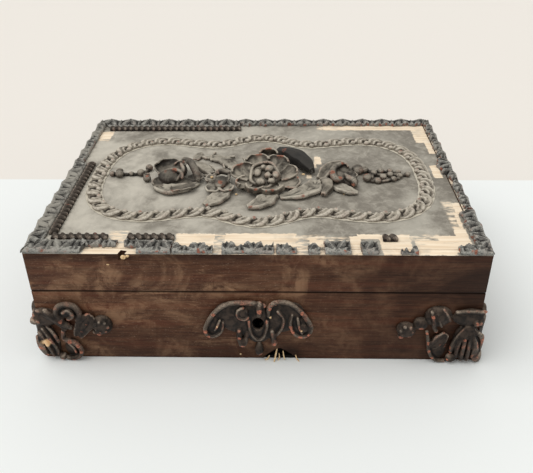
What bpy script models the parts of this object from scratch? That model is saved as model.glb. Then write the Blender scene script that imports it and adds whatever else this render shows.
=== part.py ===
# A low wooden box with a lock, with moulded ornament glued on its lid, front and corners.
# Metres, +Z up. The front is on -Y, and the origin is the middle of the underside.
import math

import bmesh
import bpy
from mathutils import Matrix, Vector

mm = 0.001

# Carcass
box_length = 0.280
box_width = 0.190
box_height = 0.084
lid_height = 0.0285
wall = 0.0055
lid_panel_thickness = 0.0055
bottom_thickness = 0.006
fit_gap = 0.0003

# Keyhole through the front board
keyhole_height = 0.033
keyhole_radius = 0.0035
keyhole_slot = 0.0030
keyhole_drop = 0.0120

# Chipped place in the foot of the front board, and a hole where a pin tore out of the lid's front edge
chip_offset = 0.0145
chip_width = 0.0210
chip_height = 0.0095
chip_depth = 0.0032
pin_hole_offset = 0.0800
pin_hole_size = 0.0055
pin_hole_depth = 0.0050

# Leaf border along the lid's edges, with a rope bead inside it
border_overhang = 0.0008
long_border = 0.0120
short_border = 0.0094
border_height = 0.0032
border_pitch = 0.0165
bead_width = 0.0062
bead_height = 0.0042
bead_pitch = 0.0047
bead_gap = 0.0005

# Plaited ring on the lid
ring_end_margin = 0.0020
ring_side_margin = 0.0093
plait_width = 0.0100
plait_height = 0.0030
plait_pitch = 0.0107

# Heights of the spray's pieces above the lid
rose_height = 0.0135
rosebud_height = 0.0110
blossom_height = 0.0090
tulip_height = 0.0065
leaf_height = 0.0040
berry_height = 0.0048

# Keyhole escutcheon, and the mounts that wrap the corners
escutcheon_length = 0.0680
escutcheon_height = 0.0380
escutcheon_foot = 0.0120
escutcheon_relief = 0.0040
drop_width = 0.0060
mount_reach = 0.0520
mount_return = 0.0360
mount_height = 0.0430
mount_relief = 0.0042
scroll_width = 0.0060
link_width = 0.0084
leaf_fold_width = 0.0080
knob_radius = 0.0080
bud_radius = 0.0060

lid_top = box_height
lid_foot = box_height - lid_height
half_length = box_length / 2
half_width = box_width / 2
surface = lid_top + fit_gap

# The field inside the border, and the ring's centre line in it
field_half_length = half_length - short_border - bead_gap - bead_width
field_half_width = half_width - long_border - bead_gap - bead_width
ring_half_length = field_half_length - ring_end_margin - plait_width / 2
ring_half_width = field_half_width - ring_side_margin - plait_width / 2


def clear_scene():
    for item in list(bpy.data.objects):
        bpy.data.objects.remove(item, do_unlink=True)


def make_material(name, colour, roughness, metallic=0.0):
    material = bpy.data.materials.new(name)
    material.use_nodes = True
    shader = material.node_tree.nodes["Principled BSDF"]
    shader.inputs["Base Color"].default_value = (*colour, 1.0)
    shader.inputs["Roughness"].default_value = roughness
    shader.inputs["Metallic"].default_value = metallic
    return material


def add_object(name, bm, material, frame=Matrix()):
    bmesh.ops.transform(bm, matrix=frame, verts=bm.verts)
    bmesh.ops.recalc_face_normals(bm, faces=bm.faces)
    mesh = bpy.data.meshes.new(name)
    bm.to_mesh(mesh)
    bm.free()
    item = bpy.data.objects.new(name, mesh)
    item.data.materials.append(material)
    bpy.context.scene.collection.objects.link(item)
    return item


def loft(name, sections, material, closed=False, frame=Matrix()):
    """Join a row of sections, each a loop of as many points, into one closed body."""
    bm = bmesh.new()
    loops = [[bm.verts.new(point) for point in section] for section in sections]
    steps = len(loops) if closed else len(loops) - 1
    for i in range(steps):
        near = loops[i]
        far = loops[(i + 1) % len(loops)]
        for j in range(len(near)):
            k = (j + 1) % len(near)
            bm.faces.new((near[j], near[k], far[k], far[j]))
    if not closed:
        bm.faces.new(loops[0])
        bm.faces.new(loops[-1])
    return add_object(name, bm, material, frame)


def prism(name, outline, low, high, material, frame=Matrix()):
    """Extrude a plan outline from one height to another."""
    bm = bmesh.new()
    base = bm.faces.new([bm.verts.new((x, y, low)) for x, y in outline])
    grown = bmesh.ops.extrude_face_region(bm, geom=[base])
    raised = [item for item in grown["geom"] if isinstance(item, bmesh.types.BMVert)]
    bmesh.ops.translate(bm, vec=(0, 0, high - low), verts=raised)
    return add_object(name, bm, material, frame)


def shade_round(item, degrees=40):
    item.data.shade_smooth()
    item.data.set_sharp_from_angle(angle=math.radians(degrees))


def use_as_tool(tool):
    tool.hide_render = True
    tool.display_type = "WIRE"


def combine(item, tool, operation):
    modifier = item.modifiers.new(operation.lower(), "BOOLEAN")
    modifier.operation = operation
    modifier.solver = "EXACT"
    modifier.object = tool
    use_as_tool(tool)


def wave(value):
    """Run smoothly from 0 at whole numbers to 1 halfway between them."""
    return 0.5 - 0.5 * math.cos(2 * math.pi * value)


def jitter(value):
    """Give an uneven edge its steps: the same value always gives the same step, from -1 to 1."""
    return math.sin(value * 12.9898) * 0.6 + math.sin(value * 4.1414 + 1.3) * 0.4


# Turned so that a plan stands on the front face, with its relief facing forward
front_frame = Matrix.Translation((0, -half_width - fit_gap, 0)) @ Matrix.Rotation(math.radians(90), 4, "X")


# Carcass
def mitred_board(name, side, low, high, material):
    """One board of four that meet in mitres; side is the way it faces."""
    along_x = side in ("front", "back")
    reach = half_length if along_x else half_width
    face = half_width if along_x else half_length
    slack = fit_gap * 0.75
    outline = [
        (-reach + slack, -face),
        (reach - slack, -face),
        (reach - wall - slack, -face + wall),
        (-reach + wall + slack, -face + wall),
    ]
    turn = {"front": 0, "right": 90, "back": 180, "left": 270}[side]
    frame = Matrix.Rotation(math.radians(turn), 4, "Z")
    return prism(name, outline, low, high, material, frame)


def keyhole_outline():
    """A round hole with a slot below it, as a plan to be stood on the front."""
    half_slot = keyhole_slot / 2
    start = math.asin(half_slot / keyhole_radius)
    sweep = 2 * math.pi - 2 * start
    arc = [start - math.pi / 2 + sweep * i / 14 for i in range(15)]
    points = [(keyhole_radius * math.cos(a), keyhole_height + keyhole_radius * math.sin(a)) for a in arc]
    foot = keyhole_height - keyhole_drop
    return points + [(-half_slot, foot), (half_slot, foot)]


def chip_outline():
    """The ragged place at the foot: a few teeth under one hump."""
    steps = 7
    points = [(chip_offset + chip_width / 2, -mm), (chip_offset - chip_width / 2, -mm)]
    for i in range(steps):
        share = i / (steps - 1)
        hump = math.sin(math.pi * (0.12 + 0.80 * share)) ** 1.5 * (0.85 + 0.15 * jitter(i))
        points.append((chip_offset + chip_width * (share - 0.5), chip_height * hump))
    return points


def carcass():
    stained = make_material("stained_wood", (0.060, 0.036, 0.022), 0.55)
    underside = make_material("bottom_wood", (0.16, 0.10, 0.06), 0.7)
    panel_wood = make_material("dusty_panel", (0.30, 0.28, 0.24), 0.75)
    base_top = lid_foot - fit_gap
    for side in ("front", "back", "left", "right"):
        base = mitred_board("base_" + side + "_board", side, 0, base_top, stained)
        rail = mitred_board("lid_" + side + "_rail", side, lid_foot, lid_top, stained)
        if side == "front":
            through = prism("keyhole_cutter", keyhole_outline(), -2 * wall, wall, stained, front_frame)
            combine(base, through, "DIFFERENCE")
            chip = prism("chip_cutter", chip_outline(), -chip_depth, wall, stained, front_frame)
            combine(base, chip, "DIFFERENCE")
            combine(rail, pin_hole(stained), "DIFFERENCE")
    inner_length = half_length - wall - fit_gap
    inner_width = half_width - wall - fit_gap
    inside = [
        (-inner_length, -inner_width),
        (inner_length, -inner_width),
        (inner_length, inner_width),
        (-inner_length, inner_width),
    ]
    prism("base_bottom_board", inside, 0, bottom_thickness, underside)
    prism("lid_panel", inside, lid_top - lid_panel_thickness, lid_top, panel_wood)


def pin_hole(material):
    """A four-sided pit broken out of the lid's front edge."""
    x = -pin_hole_offset
    half = pin_hole_size / 2
    outline = [
        (x - half, -half_width - mm),
        (x + half * 0.6, -half_width - mm),
        (x + half, -half_width + half),
        (x - half * 0.4, -half_width + half * 1.3),
    ]
    return prism("pin_hole_cutter", outline, lid_top - pin_hole_depth, lid_top + mm, material)


# Border: a run lies along one edge of the lid; its own x is along the edge and y is in from it
def edge_frame(side):
    turn = {"front": 0, "right": 90, "back": 180, "left": 270}[side]
    face = half_width if side in ("front", "back") else half_length
    place = Matrix.Translation((0, -face, surface))
    return Matrix.Rotation(math.radians(turn), 4, "Z") @ place


def border_width(side):
    return long_border if side in ("front", "back") else short_border


def edge_reach(side):
    return half_length if side in ("front", "back") else half_width


def border_strip(name, side, start, end, outer, inner, material, ragged=0.0, mitres=(False, False)):
    """A length of leaf border from start to end, as shares of the half edge.

    outer and inner give the strip's two edges at a place, as shares of its width in from the lid's edge.
    """
    width = border_width(side)
    slope = (long_border + short_border - width) / width
    reach = edge_reach(side)
    first = start * reach
    last = end * reach
    count = max(3, round((last - first) / border_pitch * 3) + 1)

    def along(share, depth):
        begin = first + (depth * slope if mitres[0] else 0)
        finish = last - (depth * slope if mitres[1] else 0)
        return begin + (finish - begin) * share

    sections = []
    for i in range(count):
        share = i / (count - 1)
        x = first + (last - first) * share
        lobe = wave(x / border_pitch)
        near = outer(x / reach) * width - border_overhang * lobe
        far = (inner(x / reach) + ragged * jitter(x / mm)) * width
        middle = (near + far) / 2
        crown = border_height * (0.62 + 0.38 * lobe)
        sections.append([
            (along(share, near), near, 0),
            (along(share, near), near, crown * 0.72),
            (along(share, middle), middle, crown),
            (along(share, far), far, border_height * 0.6),
            (along(share, far), far, 0),
        ])
    item = loft(name, sections, material, frame=edge_frame(side))
    shade_round(item, 50)
    return item


def rope_bead(name, side, start, end, material):
    """A twisted bead: each turn leans across it, high in its middle and low where two turns meet."""
    inset = border_width(side) + bead_gap
    reach = edge_reach(side)
    first = start * reach
    last = end * reach
    count = 2 * max(1, round((last - first) / bead_pitch)) + 1
    sections = []
    for i in range(count):
        x = first + (last - first) * i / (count - 1)
        full = i % 2
        lean = bead_pitch * 0.45 if 0 < i < count - 1 else 0.0
        crown = bead_height * (1.0 if full else 0.72)
        side_step = bead_width * (0.0 if full else 0.06)
        sections.append([
            (x - lean, inset + side_step, 0),
            (x - lean * 0.6, inset + bead_width * 0.22, crown * 0.72),
            (x + lean * 0.2, inset + bead_width * 0.55, crown),
            (x + lean, inset + bead_width - side_step, 0),
        ])
    item = loft(name, sections, material, frame=edge_frame(side))
    shade_round(item, 25)
    return item


def border():
    """What is left of the border. Shares along an edge run from -1 to 1, left to right as one faces it."""
    lead = make_material("border_composition", (0.10, 0.105, 0.105), 0.6)
    rope = make_material("bead_composition", (0.055, 0.050, 0.046), 0.55)
    whole = 1.0
    mitre_slack = 0.0035

    def flush(x):
        return 0.0

    def full(x):
        return whole

    def front_left_outer(x):
        return 0.52 if x > -0.75 else 0.0

    def second_outer(x):
        return 0.5 if x < -0.51 else 0.0

    end = 1 - mitre_slack
    border_strip("border_front_1", "front", -end, -0.605, front_left_outer, full, lead, mitres=(True, False))
    border_strip("border_front_2", "front", -0.570, -0.362, second_outer, full, lead)
    lengths = (
        (-0.355, -0.185, 0.62, 0.16),
        (-0.145, 0.075, 0.70, 0.18),
        (0.088, 0.172, 0.52, 0.14),
        (0.222, 0.272, 0.58, 0.10),
        (0.292, 0.402, 0.97, 0.0),
        (0.448, 0.518, 0.95, 0.0),
        (0.612, 0.682, 0.36, 0.12),
    )
    for i, (start, stop, share, rough) in enumerate(lengths):
        name = "border_front_" + str(i + 3)
        border_strip(name, "front", start, stop, flush, lambda x, s=share: s, lead, ragged=rough)

    def corner_inner(x):
        return 0.62

    border_strip("border_front_10", "front", 0.860, end, flush, corner_inner, lead, 0.05, (False, True))
    border_strip("border_right_1", "right", -end, -0.520, flush, lambda x: 0.92, lead, 0.06, (True, False))
    border_strip("border_right_2", "right", -0.500, 0.300,
                 flush, lambda x: 0.95 if 0.03 < x < 0.25 else 0.50, lead, ragged=0.06)
    border_strip("border_right_3", "right", 0.320, end, flush, lambda x: 0.55, lead, 0.07, (False, True))
    border_strip("border_back", "back", -end, end,
                 flush, lambda x: 1.0 if x > 0.15 else 0.66, lead, 0.0, (True, True))
    border_strip("border_left", "left", -end, end,
                 flush, lambda x: 1.0 if x > -0.2 else 0.68, lead, 0.0, (True, True))

    rope_bead("bead_front_1", "front", -0.905, -0.655, rope)
    rope_bead("bead_front_2", "front", -0.570, -0.362, rope)
    rope_bead("bead_front_3", "front", 0.548, 0.612, rope)
    rope_bead("bead_back", "back", 0.130, 0.915, rope)
    rope_bead("bead_left", "left", -0.180, 0.800, rope)


# Plaited ring
def ring_quarter():
    """The ring's centre line from the middle of a long side to an end, as shares of its half sizes."""
    return (
        (0.0, 1.0), (0.12, 0.945), (0.225, 0.845), (0.33, 0.805), (0.45, 0.84), (0.57, 0.885),
        (0.67, 0.895), (0.78, 0.855), (0.87, 0.755), (0.94, 0.60), (0.98, 0.41), (0.998, 0.20),
    )


def ring_corners():
    quarter = ring_quarter()
    right_back = [(x, y) for x, y in quarter] + [(1.0, 0.0)]
    right_front = [(x, -y) for x, y in reversed(quarter)]
    left_front = [(-x, -y) for x, y in quarter[1:]] + [(-1.0, 0.0)]
    left_back = [(-x, y) for x, y in reversed(quarter[1:])]
    shares = right_back + right_front + left_front + left_back
    return [Vector((x * ring_half_length, y * ring_half_width)) for x, y in shares]


def smooth_loop(corners, fine=8):
    """A closed curve through the corners."""
    points = []
    count = len(corners)
    for i in range(count):
        a, b, c, d = (corners[(i + k) % count] for k in (-1, 0, 1, 2))
        for k in range(fine):
            t = k / fine
            points.append(0.5 * (2 * b + (c - a) * t + (2 * a - 5 * b + 4 * c - d) * t * t
                                 + (3 * b - a - 3 * c + d) * t * t * t))
    return points


def even_steps(points, count):
    """Places and directions at even steps round a closed line of points."""
    lengths = [(points[(i + 1) % len(points)] - points[i]).length for i in range(len(points))]
    step = sum(lengths) / count
    places = []
    i = 0
    passed = 0.0
    for k in range(count):
        while passed + lengths[i] < k * step:
            passed += lengths[i]
            i += 1
        ahead = (points[(i + 1) % len(points)] - points[i]).normalized()
        places.append((points[i] + ahead * (k * step - passed), ahead))
    return places


def plaited_ring():
    """A plait seen from above: lobes lean across it, and the inner row lies half a lobe behind the outer."""
    grey = make_material("ring_composition", (0.17, 0.155, 0.14), 0.65)
    curve = smooth_loop(ring_corners())
    around = sum((curve[(i + 1) % len(curve)] - curve[i]).length for i in range(len(curve)))
    lobes = round(around / plait_pitch)
    rows = 4
    half = plait_width / 2
    sections = []
    for k, (place, ahead) in enumerate(even_steps(curve, lobes * rows)):
        across = Vector((-ahead.y, ahead.x))
        phase = k / rows
        outer_wave = wave(phase)
        inner_wave = wave(phase + 0.5)
        spots = (
            (-half * (0.80 + 0.20 * outer_wave), 0.0),
            (-half * 0.42, plait_height * (0.60 + 0.40 * outer_wave)),
            (half * 0.42, plait_height * (0.60 + 0.40 * inner_wave)),
            (half * (0.80 + 0.20 * inner_wave), 0.0),
        )
        section = []
        for offset, height in spots:
            spot = place + across * offset
            section.append((spot.x, spot.y, surface + height))
        sections.append(section)
    ring = loft("plaited_ring", sections, grey, closed=True)
    shade_round(ring, 30)


# Floral spray: laid out on a grid of 232 by 124 steps across the ring
def spray(x, y):
    return Vector((x * ring_half_length / 116, y * ring_half_width / 62))


def leaf(name, base, bend, tip, width, height, material, hollow=0.35, blunt=0.12, steps=6, behind=()):
    """A leaf with a raised rim and a sunk midrib, from its base through a bend to its tip.

    Where it runs under a flower's head, it is cut off at a clearance from that head's outline.
    """
    base, bend, tip = spray(*base), spray(*bend), spray(*tip)
    half = spray(width, 0).x / 2
    sections = []
    for i in range(steps):
        t = i / (steps - 1)
        place = base * (1 - t) ** 2 + bend * 2 * t * (1 - t) + tip * t * t
        ahead = ((bend - base) * (1 - t) + (tip - bend) * t).normalized()
        across = Vector((-ahead.y, ahead.x))
        spread = half * max(blunt, math.sin(math.pi * (0.16 + 0.80 * t)) ** 0.8)
        rise = height * (0.62 + 0.38 * math.sin(math.pi * t))
        spots = ((-1, 0), (-1, 0.62), (-0.55, 1.0), (0, 1 - hollow), (0.55, 1.0), (1, 0.62), (1, 0))
        section = []
        for offset, share in spots:
            spot = place + across * spread * offset
            section.append((spot.x, spot.y, surface + rise * share))
        sections.append(section)
    item = loft(name, sections, material)
    for head in behind:
        combine(item, head, "DIFFERENCE")
    shade_round(item, 35)
    return item


def head_outline(centre, radius_x, radius_y, segments, lobes, turn, cut, clearance=0.0):
    """The widest loop of a flower's head, at a clearance from it."""
    middle = spray(*centre)
    radius_x = spray(radius_x, 0).x + clearance
    radius_y = spray(0, radius_y).y + clearance
    points = []
    for k in range(segments):
        angle = 2 * math.pi * k / segments
        reach = 1 + cut * math.cos(lobes * (angle - turn))
        points.append((middle.x + radius_x * reach * math.cos(angle), middle.y + radius_y * reach * math.sin(angle)))
    return points


def turned_head(name, centre, radius_x, radius_y, rings, segments, lobes, material, turn=0.0, lean=(0, 0)):
    """A flower or bud: loops of lobed outline set one above or inside another.

    Each ring is its share of the radius, its height, how deep its lobes are cut and how far its lobes rise.
    """
    middle = spray(*centre)
    radius_x = spray(radius_x, 0).x
    radius_y = spray(0, radius_y).y
    tilt = Vector(lean)
    sections = []
    for share, height, cut, rise in rings:
        section = []
        for k in range(segments):
            angle = 2 * math.pi * k / segments
            petal = math.cos(lobes * (angle - turn))
            reach = share * (1 + cut * petal)
            away = Vector((math.cos(angle), math.sin(angle)))
            lift = max(0.0, height + rise * petal + height * tilt.dot(away) * share)
            section.append((middle.x + radius_x * reach * away.x,
                            middle.y + radius_y * reach * away.y, surface + lift))
        sections.append(section)
    item = loft(name, sections, material)
    shade_round(item, 35)
    return item


def head_with_clearance(name, centre, radius_x, radius_y, rings, segments, lobes, material, turn=0.0, lean=(0, 0)):
    """A flower's head, and the block that keeps its neighbours off it."""
    head = turned_head(name, centre, radius_x, radius_y, rings, segments, lobes, material, turn, lean)
    cut = max(ring[2] for ring in rings if ring[0] == 1.0)
    outline = head_outline(centre, radius_x, radius_y, segments, lobes, turn, cut, 2 * fit_gap)
    block = prism(name + "_clearance", outline, surface - mm, surface + 2 * rose_height, material)
    use_as_tool(block)
    return head, block


def rose(material):
    """Eight cupped petals round a sunk floor, with a heart of balls in an inner cup."""
    top = rose_height
    rings = (
        (0.90, 0.0, 0.07, 0.0),
        (1.00, top * 0.56, 0.09, top * 0.10),
        (0.90, top * 0.66, 0.08, top * 0.12),
        (0.62, top * 0.36, 0.0, 0.0),
        (0.45, top * 0.42, 0.0, 0.0),
        (0.42, top * 0.92, 0.04, 0.0),
        (0.33, top * 0.95, 0.04, 0.0),
        (0.24, top * 0.74, 0.0, 0.0),
        (0.10, top * 0.86, 0.0, 0.0),
    )
    return head_with_clearance("rose", (3, -5), 23.0, 25.0, rings, 32, 8, material, turn=0.2, lean=(0.02, 0.28))


def rosebud(material):
    """The rosebud at the left: wrapped petals, open to the right."""
    top = rosebud_height
    rings = (
        (0.94, 0.0, 0.05, 0.0),
        (1.00, top * 0.34, 0.06, 0.0),
        (0.86, top * 0.72, 0.05, top * 0.06),
        (0.58, top * 0.94, 0.08, top * 0.08),
        (0.42, top * 0.58, 0.0, 0.0),
        (0.20, top * 0.80, 0.0, 0.0),
    )
    return head_with_clearance("left_rosebud", (-60, -7), 15.0, 16.5, rings, 20, 3, material, turn=0.5)


def blossom(material):
    """The half-open blossom at the right."""
    top = blossom_height
    rings = (
        (0.92, 0.0, 0.10, 0.0),
        (1.00, top * 0.45, 0.12, 0.0),
        (0.84, top * 0.95, 0.10, top * 0.10),
        (0.50, top * 0.52, 0.0, 0.0),
        (0.22, top * 0.70, 0.0, 0.0),
    )
    return head_with_clearance("right_blossom", (61, -5), 10.0, 11.5, rings, 20, 4, material, turn=0.9)


def tulip_bud(material):
    """The drooping bud left of the rose."""
    top = tulip_height
    rings = (
        (0.92, 0.0, 0.0, 0.0),
        (1.00, top * 0.5, 0.0, 0.0),
        (0.70, top * 0.9, 0.0, 0.0),
        (0.30, top * 1.0, 0.0, 0.0),
    )
    return head_with_clearance("tulip_bud", (-28, -9), 4.6, 9.0, rings, 12, 2, material)


def tulip_cup(material, behind):
    """The shallow cup of petals that the drooping bud lies in."""
    top = leaf_height
    rings = ((0.94, 0.0, 0.05, 0.0), (1.00, top * 0.75, 0.06, top * 0.1), (0.66, top * 0.40, 0.0, 0.0))
    cup, block = head_with_clearance("tulip_cup", (-29, -14), 9.0, 12.0, rings, 16, 3, material, turn=1.4)
    for head in behind:
        combine(cup, head, "DIFFERENCE")
    return cup, block


def berry_sprig(name, berries, stems, material):
    """Berries that touch along their stalks, fused into one casting."""
    stalks = []
    for i, (base, bend, tip) in enumerate(stems):
        label = name if i == 0 else name + "_stalk_" + str(i)
        stalk = leaf(label, base, bend, tip, 3.6, berry_height * 0.40, material, hollow=0.0, blunt=0.6, steps=4)
        stalks.append(stalk)
    sprig = stalks[0]
    for stalk in stalks[1:]:
        combine(sprig, stalk, "UNION")
    for i, (x, y, size) in enumerate(berries):
        top = berry_height * size / 5.5
        rings = ((0.85, 0.0, 0.0, 0.0), (1.0, top * 0.5, 0.0, 0.0), (0.5, top, 0.0, 0.0))
        ball = turned_head(name + "_ball_" + str(i), (x, y), size / 2, size / 2, rings, 6, 1, material)
        combine(sprig, ball, "UNION")
    return sprig


def floral_spray():
    dark = make_material("spray_composition", (0.085, 0.075, 0.066), 0.5)
    pale = make_material("worn_composition", (0.20, 0.18, 0.155), 0.6)
    _, rose_block = rose(dark)
    _, rosebud_block = rosebud(dark)
    _, blossom_block = blossom(dark)
    _, tulip_block = tulip_bud(dark)
    _, cup_block = tulip_cup(pale, (tulip_block, rose_block))
    tall = leaf_height * 2.3
    at_rose = (rose_block,)
    leaf("leaf_behind_rose", (32, -4), (39, 18), (15, 28), 15.0, tall, dark,
         hollow=-0.1, blunt=0.45, behind=at_rose)
    leaf("leaf_right_boat", (44, -5), (49, 9), (61, 17), 9.0, leaf_height * 1.5, dark,
         hollow=0.5, blunt=0.35, behind=(blossom_block,))
    leaf("leaf_right_cup", (38, -9), (38, -29), (13, -33), 15.0, leaf_height * 1.1, pale,
         blunt=0.45, behind=at_rose)
    leaf("leaf_right_curl", (45, -9), (49, -18), (44, -29), 6.5, leaf_height * 1.3, dark, hollow=-0.2, blunt=0.4)
    leaf("leaf_right_low", (53, -13), (55, -24), (67, -25), 8.5, leaf_height, pale, behind=(blossom_block,))
    leaf("leaf_front_middle", (7, -27), (6, -41), (-7, -45.5), 12.0, leaf_height * 1.1, pale,
         blunt=0.3, behind=at_rose)
    leaf("leaf_front_left", (-24, -22), (-27, -36), (-36, -41.5), 13.0, leaf_height * 0.9, pale,
         blunt=0.25, behind=(cup_block, rose_block))
    leaf("leaf_bud_front", (-71, -17), (-59, -31), (-44, -13), 11.0, leaf_height * 1.1, pale,
         hollow=0.5, blunt=0.3, behind=(rosebud_block,))
    leaf("leaf_ribbed", (-36, 2), (-41, 9), (-51, 20), 6.5, leaf_height * 0.8, pale, hollow=-0.1,
         blunt=0.3, behind=(rosebud_block, cup_block))
    leaf("leaf_back_left", (-16, 6), (-24, 26), (-42, 27), 9.5, leaf_height * 0.6, pale,
         blunt=0.2, behind=at_rose)
    leaf("leaf_back_bud", (-49.5, 24), (-48, 29), (-46, 35), 5.0, leaf_height * 0.5, pale)
    left = (
        (-80, -8, 6.0), (-81.5, 8.5, 5.6), (-86, 0.5, 6.4), (-93, 0.2, 4.4), (-101, -1.6, 6.6),
        (-102, 3.2, 5.6), (-106.5, -0.3, 4.8),
    )
    left_stems = (((-82, 0.4), (-94, 0.4), (-108, 0)), ((-80.5, 10), (-89, 0), (-79, -10)))
    berry_sprig("berries_left", left, left_stems, dark)
    right = (
        (75, 6, 6.4), (75.5, -7, 6.6), (81, 1, 5.4), (82.5, -10, 5.2), (86.5, 4.5, 5.2), (87, -4.5, 5.6),
        (92.5, -0.8, 5.2), (93, 5, 4.6), (94, -7, 4.6), (98.5, 2.6, 4.8), (98.8, -2.6, 5.0), (105, 0, 4.8),
    )
    right_stems = (
        ((77, 0), (90, 0), (104, 0)), ((75.5, -8), (84, -10), (98, -5)), ((75, 7), (82, 5), (95, 4)),
        ((77, 7), (80, 0), (77.5, -8)),
    )
    berry_sprig("berries_right", right, right_stems, dark)


# Keyhole escutcheon
def escutcheon_point(x, z):
    """Shares of the escutcheon's half length and of its height."""
    return x * escutcheon_length / 2, escutcheon_foot + z * escutcheon_height


def escutcheon():
    """A butterfly of two scrolled wings, a column for the key between them and two feet."""
    black = make_material("mount_composition", (0.045, 0.040, 0.036), 0.45)
    stations = (
        (-1.00, 0.36, 0.50), (-0.95, 0.26, 0.62), (-0.84, 0.21, 0.76), (-0.66, 0.30, 0.90), (-0.50, 0.25, 0.965),
        (-0.39, 0.20, 0.99), (-0.35, 0.02, 1.0), (-0.24, 0.02, 0.98), (-0.19, 0.16, 0.955), (-0.08, 0.10, 0.985),
        (0.06, 0.08, 0.985), (0.15, 0.16, 0.90), (0.19, 0.14, 0.78), (0.24, 0.03, 0.92), (0.35, 0.02, 0.99),
        (0.41, 0.20, 1.0), (0.52, 0.26, 0.98), (0.66, 0.30, 0.90), (0.80, 0.22, 0.78), (0.90, 0.22, 0.66),
        (1.00, 0.34, 0.54),
    )
    sections = []
    for x, low, high in stations:
        section = []
        swell = 0.55 + 0.45 * abs(math.sin(math.pi * x)) ** 0.7
        spots = ((0, 0), (0, 0.55), (0.25, swell), (0.5, swell * 0.82), (0.78, 0.70), (0.93, 1.0), (1, 0.6), (1, 0))
        for share, relief in spots:
            across, up = escutcheon_point(x, low + (high - low) * share)
            section.append((across, up, relief * escutcheon_relief))
        sections.append(section)
    plate = loft("keyhole_escutcheon", sections, black, frame=front_frame)
    shade_round(plate, 40)
    hole = prism("escutcheon_cutter", keyhole_outline(), -wall, 4 * escutcheon_relief, black, front_frame)
    combine(plate, hole, "DIFFERENCE")


def escutcheon_drop():
    """The small bud that hangs below the column."""
    black = make_material("drop_composition", (0.045, 0.040, 0.036), 0.45)
    drop = escutcheon_relief
    sections = []
    for up, half, rise in ((0.035, 0.35, 0.5), (-0.03, 0.9, 0.7), (-0.11, 1.0, 1.0), (-0.19, 0.55, 0.8)):
        _, z = escutcheon_point(0, up)
        spread = drop_width / 2 * half
        sections.append([
            (-spread, z, 0), (-spread * 0.8, z, drop * rise * 0.6), (0, z, drop * rise),
            (spread * 0.8, z, drop * rise * 0.6), (spread, z, 0),
        ])
    item = loft("escutcheon_drop", sections, black, frame=front_frame)
    shade_round(item, 40)


# Corner mounts: drawn for the front right corner, with x and y measured out from that corner
def corner_frame(side_x, side_y):
    mirror = Matrix.Diagonal((side_x, side_y, 1, 1))
    return mirror @ Matrix.Translation((half_length, half_width, 0))


def band(points, half, height, material, name, frame):
    """A rounded band along a line of points on the face y = 0, tapering to its end."""
    line = [Vector(point) for point in points]
    sections = []
    for i, place in enumerate(line):
        ahead = (line[min(i + 1, len(line) - 1)] - line[max(i - 1, 0)]).normalized()
        across = Vector((-ahead.y, ahead.x))
        spread = half * (1 - 0.35 * i / (len(line) - 1))
        section = []
        for offset, rise in ((-1, 0), (-0.8, 0.7), (0, 1), (0.8, 0.7), (1, 0)):
            spot = place + across * spread * offset
            section.append((spot.x, fit_gap + height * rise, spot.y))
        sections.append(section)
    return loft(name, sections, material, frame=frame)


def face_bud(name, centre, radius, height, lobes, material, frame):
    """A round bud standing off the face y = 0."""
    rings = ((0.95, 0.0), (1.0, 0.45), (0.62, 1.0))
    segments = 10
    sections = []
    for share, rise in rings:
        section = []
        for k in range(segments):
            angle = 2 * math.pi * k / segments
            reach = radius * share * (1 + 0.08 * math.cos(lobes * angle))
            section.append((centre[0] + reach * math.cos(angle), fit_gap + height * rise,
                            centre[1] + reach * math.sin(angle)))
        sections.append(section)
    return loft(name, sections, material, frame=frame)


def shell_section(z, out, back, swell, flutes):
    """One level of the shell that wraps the corner, from the face y = 0 round to the face x = 0."""
    inner = fit_gap
    steps = 8
    section = []
    for i in range(steps + 1):
        share = i / steps
        angle = math.pi / 2 * share
        ridge = 1 + flutes * (i % 2)
        depth = swell * ridge
        along_front = -out * (1 - share * 2) if share < 0.5 else 0.0
        along_side = -back * (share * 2 - 1) if share > 0.5 else 0.0
        section.append((along_front + depth * math.sin(angle) + inner * math.sin(angle),
                        along_side + depth * math.cos(angle) + inner * math.cos(angle), z))
    section.append((inner, -back, z))
    section.append((inner, inner, z))
    section.append((-out, inner, z))
    return section


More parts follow.
